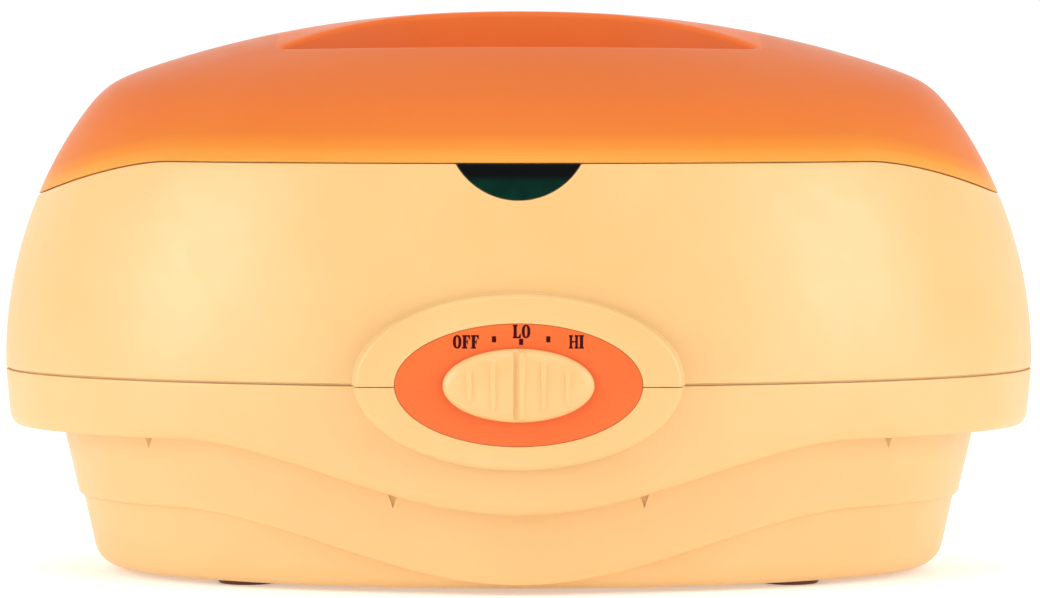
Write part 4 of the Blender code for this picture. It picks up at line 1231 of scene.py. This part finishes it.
def letter(sign):
    """Outlines of a bold narrow letter with serifs, 1 high; the second, if any, is its hole."""
    serif = 0.5 - LETTER_THIN
    if sign == "O":
        loops = [ellipse(half_x, half_z, turn(28), 2.3) for half_x, half_z in ((0.36, 0.5), (0.11, 0.39))]
        return [list(zip(x, z)) for x, z in loops]
    if sign == "H":
        bar = [(0.14, 0.05), (0.14, serif), (0.07, serif)]
        return [mirrored([*bar, (0.07, 0.5), (0.4, 0.5), (0.4, serif), (0.34, serif)])]
    if sign == "I":
        return [mirrored([(0.2, 0.5), (0.2, serif), (0.13, serif)])]
    head = [(-0.34, 0.5), (-0.34, serif), (-0.27, serif)]
    head += [(x, -z) for x, z in head[::-1]]
    if sign == "L":
        toe = [(0.34, -0.5), (0.34, -0.14), (0.29, -0.14), (0.15, -serif), (0, -serif)]
        return [[*head, *toe, (0, serif), (0.07, serif), (0.07, 0.5)]]
    foot = [(0.07, -0.5), (0.07, -serif), (0, -serif), (0, -0.05)]
    arm = [(0.08, -0.05), (0.08, -0.17), (0.14, -0.17), (0.14, 0.17), (0.08, 0.17), (0.08, 0.05), (0, 0.05)]
    return [[*head, *foot, *arm, (0, serif), (0.15, serif), (0.27, 0.17), (0.32, 0.17), (0.32, 0.5)]]


def make_marks():
    """The heat markings printed on the bezel, as thin raised ink."""

    def print_at(name, outlines, x, z):
        def place(along, upward, depth):
            return x * MM + along, PAD_FACE_Y - INK_DEPTH / 2 - depth, z * MM + upward

        return plate(name, outlines, INK_DEPTH, INK_ROUND, place)

    marks = []
    for word, middle, z in WORDS:
        widths = [LETTER_WIDTHS[sign] for sign in word]
        x = middle - sum(widths) / 2
        for k, (sign, width) in enumerate(zip(word, widths)):
            outlines = []
            for loop in letter(sign):
                outlines.append([(px * LETTER_WIDE, pz * LETTER_HIGH) for px, pz in loop])
            marks.append(print_at(f"{word}_{k}", outlines, x + width / 2, z))
            x += width
    tick = mirrored([TICK_HALF])
    for x, z in TICKS:
        marks.append(print_at("tick", [tick], x, z))
    made = joined("heat_marks", marks)
    made.data.materials.clear()
    made.data.materials.append(ink)
    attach(made, "housing")


# ---------------------------------------------------------------- basin and underside


def basin_profile():
    """Pairs of half axes and height down the basin's inside and up its outside, from the flange."""
    top = FLANGE_Z + BASIN_WALL
    rows = []
    for inset, drop in quarter(0.5 * MM):
        rows.append((grown(FLANGE_HALF, -inset), top - drop))
    lip = 2 * MM
    rows += [(grown(BASIN_TOP, away), top - drop) for drop, away in quarter(lip, 7)]
    for z in np.linspace(top - lip, BASIN_FLOOR_Z + BASIN_FILLET, 12)[1:]:
        rows.append((basin_half(z), z))
    for inset, drop in quarter(BASIN_FILLET, 9)[1:]:
        rows.append((basin_half(BASIN_FLOOR_Z + drop, -inset), BASIN_FLOOR_Z + drop))
    return rows


def grown(half, by):
    return half[0] + by, half[1] + by


def make_basin():
    angles = turn(240)
    inner = basin_profile()
    outer = []
    for half, z in inner[::-1]:
        if z < FLANGE_Z - 1 * MM:
            outer.append((grown(half, BASIN_WALL), z - (BASIN_WALL if z < BASIN_FLOOR_Z + 2 * MM else 0)))
    outer += [(grown(BASIN_TOP, BASIN_WALL), FLANGE_Z), (FLANGE_HALF, FLANGE_Z)]
    skin = Skin()
    loops = []
    for half, z in inner + outer:
        loops.append(stack(*ellipse(*half, angles, BASIN_POWER), z))
    inside = skin.add(loops[: len(inner)])
    outside = skin.add(loops[len(inner) :])
    skin.sheet(inside, wrap=True)
    skin.sheet(outside, wrap=True)
    skin.sheet(np.vstack((outside[-1], inside[0])), wrap=True)
    floor = []
    below = []
    for share in (0.8, 0.55, 0.3, 0.1):
        floor.append(loops[len(inner) - 1] * (share, share, 1))
        below.append(loops[len(inner)] * (share, share, 1))
    floor = np.vstack((inside[-1:], skin.add(floor)))
    below = np.vstack((outside[:1], skin.add(below)))
    middle, under = skin.add(((0, 0, BASIN_FLOOR_Z), (0, 0, BASIN_FLOOR_Z - BASIN_WALL))).tolist()
    skin.sheet(floor, wrap=True)
    skin.sheet(below, wrap=True)
    skin.fan(floor[-1].tolist(), middle)
    skin.fan(below[-1].tolist(), under)
    piece(skin.build("basin_shell"), "housing", "basin_aluminium", metal, "basin")


def oblong(x, half_y, half_x, steps=12):
    """Outline of a slot with round ends."""
    angles = np.linspace(0, math.pi, steps)
    upper = [(x + half_x * math.cos(a), half_y - half_x + half_x * math.sin(a)) for a in angles]
    return upper + [(2 * x - px, -py) for px, py in upper]


def make_grid():
    """The slatted tray over the basin's floor, with its legs."""
    half = basin_half(BASIN_FLOOR_Z, -GRID_CLEAR)
    outlines = [list(zip(*ellipse(*half, turn(120), BASIN_POWER)))]
    for k in range(GRID_GAPS):
        x = (k - (GRID_GAPS - 1) / 2) * GRID_PITCH
        edge = half[1] * (1 - (abs(x) / half[0]) ** BASIN_POWER) ** (1 / BASIN_POWER)
        outlines.append(oblong(x, edge - GRID_RIM, GRID_GAP_HALF))
    middle = GRID_Z + GRID_THICK / 2
    tray = plate("tray", outlines, GRID_THICK, 0.6 * MM, lambda x, y, z: (x, y, middle + z))
    pieces = [tray]
    low = BASIN_FLOOR_Z + GAP
    high = GRID_Z + 1 * MM
    leg = rounded_profile(((CORE_R, low), (LEG_R, low), (LEG_R, high), (CORE_R, high)), 0.5 * MM)
    for x, y in four_places(LEG_AT):
        skin = Skin()
        turned(skin, (x, y, 0), 2, leg, 20)
        pieces.append(skin.build("leg"))
    made = joined("grid_tray", pieces)
    made.data.materials.clear()
    piece(made, "grid", "grid_plastic", tray_plastic, "basin_grid")


def make_feet():
    outline = [(0.5, 0.4), (7.2, 0.4), (8, 0), (9.8, 0), (10.5, 0.7), (10.5, 1.3)]
    outline += [(3.2, 1.3), (3.2, 6), (0.5, 6)]
    profile = [(radius * MM, height * MM) for radius, height in outline]
    for k, (x, y) in enumerate(four_places(FOOT_AT), 1):
        skin = Skin()
        turned(skin, (x, y, 0), 2, rounded_profile(profile, 0.5 * MM), 72)
        piece(skin.build(f"foot_pad_{k}"), "housing", "dark_rubber", foot_rubber, f"rubber_foot_{k}")


def make_gland():
    """The rubber bush for the mains cord, ribbed where it grips the wall."""
    tip = GLAND_TIP_Y / MM
    corners = [(4, 112), (4, 110.6), (9, 110.6), (9, 112.8), (6.7, 112.8)]
    corners += [(6.7, 118.2), (9.5, 118.2), (9.5, 120), (7.8, 120.8)]
    for k in range(3):
        y = 121.6 + 1.9 * k
        groove = 6.5 - 0.3 * k
        corners += [(7.6 - 0.4 * k, y), (groove, y), (groove, y + 0.8), (7.3 - 0.4 * k, y + 0.8)]
    corners += [(6.3, tip), (4, tip), (4, 113)]
    profile = rounded_profile([(r * MM, y * MM) for r, y in corners], 0.35 * MM)
    skin = Skin()
    angles = turn(72)
    skin.hollow([stack(r * np.cos(angles), y, GLAND_Z + r * np.sin(angles)) for r, y in profile])
    piece(skin.build("cord_bush"), "housing", "dark_rubber", rubber, "cord_gland")


def make_screws():
    """Pan heads with a cross recess, sunk in the skirt's shelf."""
    outline = [(0.2, -0.9), (0.9, -1.0), (2.0, -2.2), (2.8, -2.0), (3.4, -1.2)]
    outline += [(3.4, -0.3), (1.4, -0.3), (1.4, 19), (0.2, 20)]
    profile = rounded_profile([(r * MM, z * MM) for r, z in outline], 0.3 * MM)
    for k, (x, y) in enumerate(four_places(BOSS_AT), 1):
        angles = turn(48)
        cross = np.abs(np.cos(2 * angles)) ** 8
        rings = []
        for radius, height in profile:
            in_recess = 0.3 * MM < radius < 1 * MM
            reach = radius * (1 + 0.9 * cross * in_recess)
            rings.append(stack(x + reach * np.cos(angles), y + reach * np.sin(angles), SCREW_Z + height))
        skin = Skin()
        skin.solid(rings)
        piece(skin.build(f"case_screw_{k}"), "housing", "zinc_steel", steel, f"housing_screw_{k}")


# ---------------------------------------------------------------- inner parts and studio


def finish_inner_parts():
    """Gives every CAD node that still shows its material, and rounds its hard edges."""
    slots = {row["node"]: row["material_slot"] for row in frame["record"]["subparts"]}
    for name, made in frame["nodes"].items():
        if made.hide_render:
            continue
        made.data.materials.clear()
        made.data.materials.append(CARRIED_OVER[slots[name]])
        rounding = made.modifiers.new("rounding", "BEVEL")
        rounding.width = 0.15 * MM
        rounding.segments = 2
        rounding.limit_method = "ANGLE"


def make_camera():
    data = bpy.data.cameras.new("camera")
    data.lens = CAMERA_LENS
    data.clip_start = 0.05
    made = placed("camera", data)
    made.location = CAMERA_AT
    made.rotation_euler = (math.radians(CAMERA_TILT), 0, 0)
    bpy.context.scene.camera = made


def make_light(name, at, aim, size, power):
    data = bpy.data.lights.new(name, "AREA")
    data.shape = "RECTANGLE"
    data.size, data.size_y = size
    data.energy = power
    made = placed(name, data)
    made.location = at
    direction = Vector(aim) - Vector(at)
    made.rotation_euler = direction.to_track_quat("-Z", "Y").to_euler()


def make_studio():
    world = bpy.data.worlds.new("studio")
    world.use_nodes = True
    tree = world.node_tree
    split = tree.nodes.new("ShaderNodeSeparateXYZ")
    tree.links.new(tree.nodes.new("ShaderNodeTexCoord").outputs["Generated"], split.inputs["Vector"])
    level = tree.nodes.new("ShaderNodeMapRange")
    level.inputs["From Min"].default_value = -FADE_HALF
    level.inputs["From Max"].default_value = FADE_HALF
    level.inputs["To Min"].default_value = ROOM_LIGHT
    level.inputs["To Max"].default_value = BACKDROP_LIGHT
    tree.links.new(split.outputs["Y"], level.inputs["Value"])
    tree.nodes["Background"].inputs["Color"].default_value = (1, 1, 1, 1)
    tree.links.new(level.outputs["Result"], tree.nodes["Background"].inputs["Strength"])
    bpy.context.scene.world = world
    bpy.context.scene.view_settings.view_transform = "Standard"
    floor = bpy.data.meshes.new("floor")
    corners = [(x * FLOOR_HALF, y * FLOOR_HALF, 0) for x, y in ((-1, -1), (1, -1), (1, 1), (-1, 1))]
    floor.from_pydata(corners, [], [(0, 1, 2, 3)])
    made = placed("floor", floor)
    paper = Nodes("floor_paper")
    paper.colour(paper.blend(paper.spread(paper.noise(0.4, 2), 0, 1), (0.93, 0.93, 0.93), (0.9, 0.9, 0.9)))
    paper.set(Roughness=0.8, Emission_Color=(1, 1, 1, 1), Emission_Strength=FLOOR_GLOW)
    floor.materials.append(paper.material)
    middle = (0, 0, 0.1)
    for name, side in (("left_box", -1), ("right_box", 1)):
        make_light(name, (side * 1.45, -0.95, 0.6), middle, (0.9, 1.1), SIDE_POWER)
    make_light("top_box", (0, -0.9, 1.5), middle, (1.2, 0.4), TOP_POWER)


make_camera()
make_studio()
make_lid()
make_upper_shell()
make_lower_shell()
make_pad("pad_upper_half", PARTING_Z + HALF_GAP, True, "upper_housing")
make_pad("pad_lower_half", PARTING_Z - HALF_GAP, False, "lower_housing")
make_bezel()
make_marks()
make_knob()
make_lens()
make_basin()
make_grid()
make_feet()
make_gland()
make_screws()
finish_inner_parts()
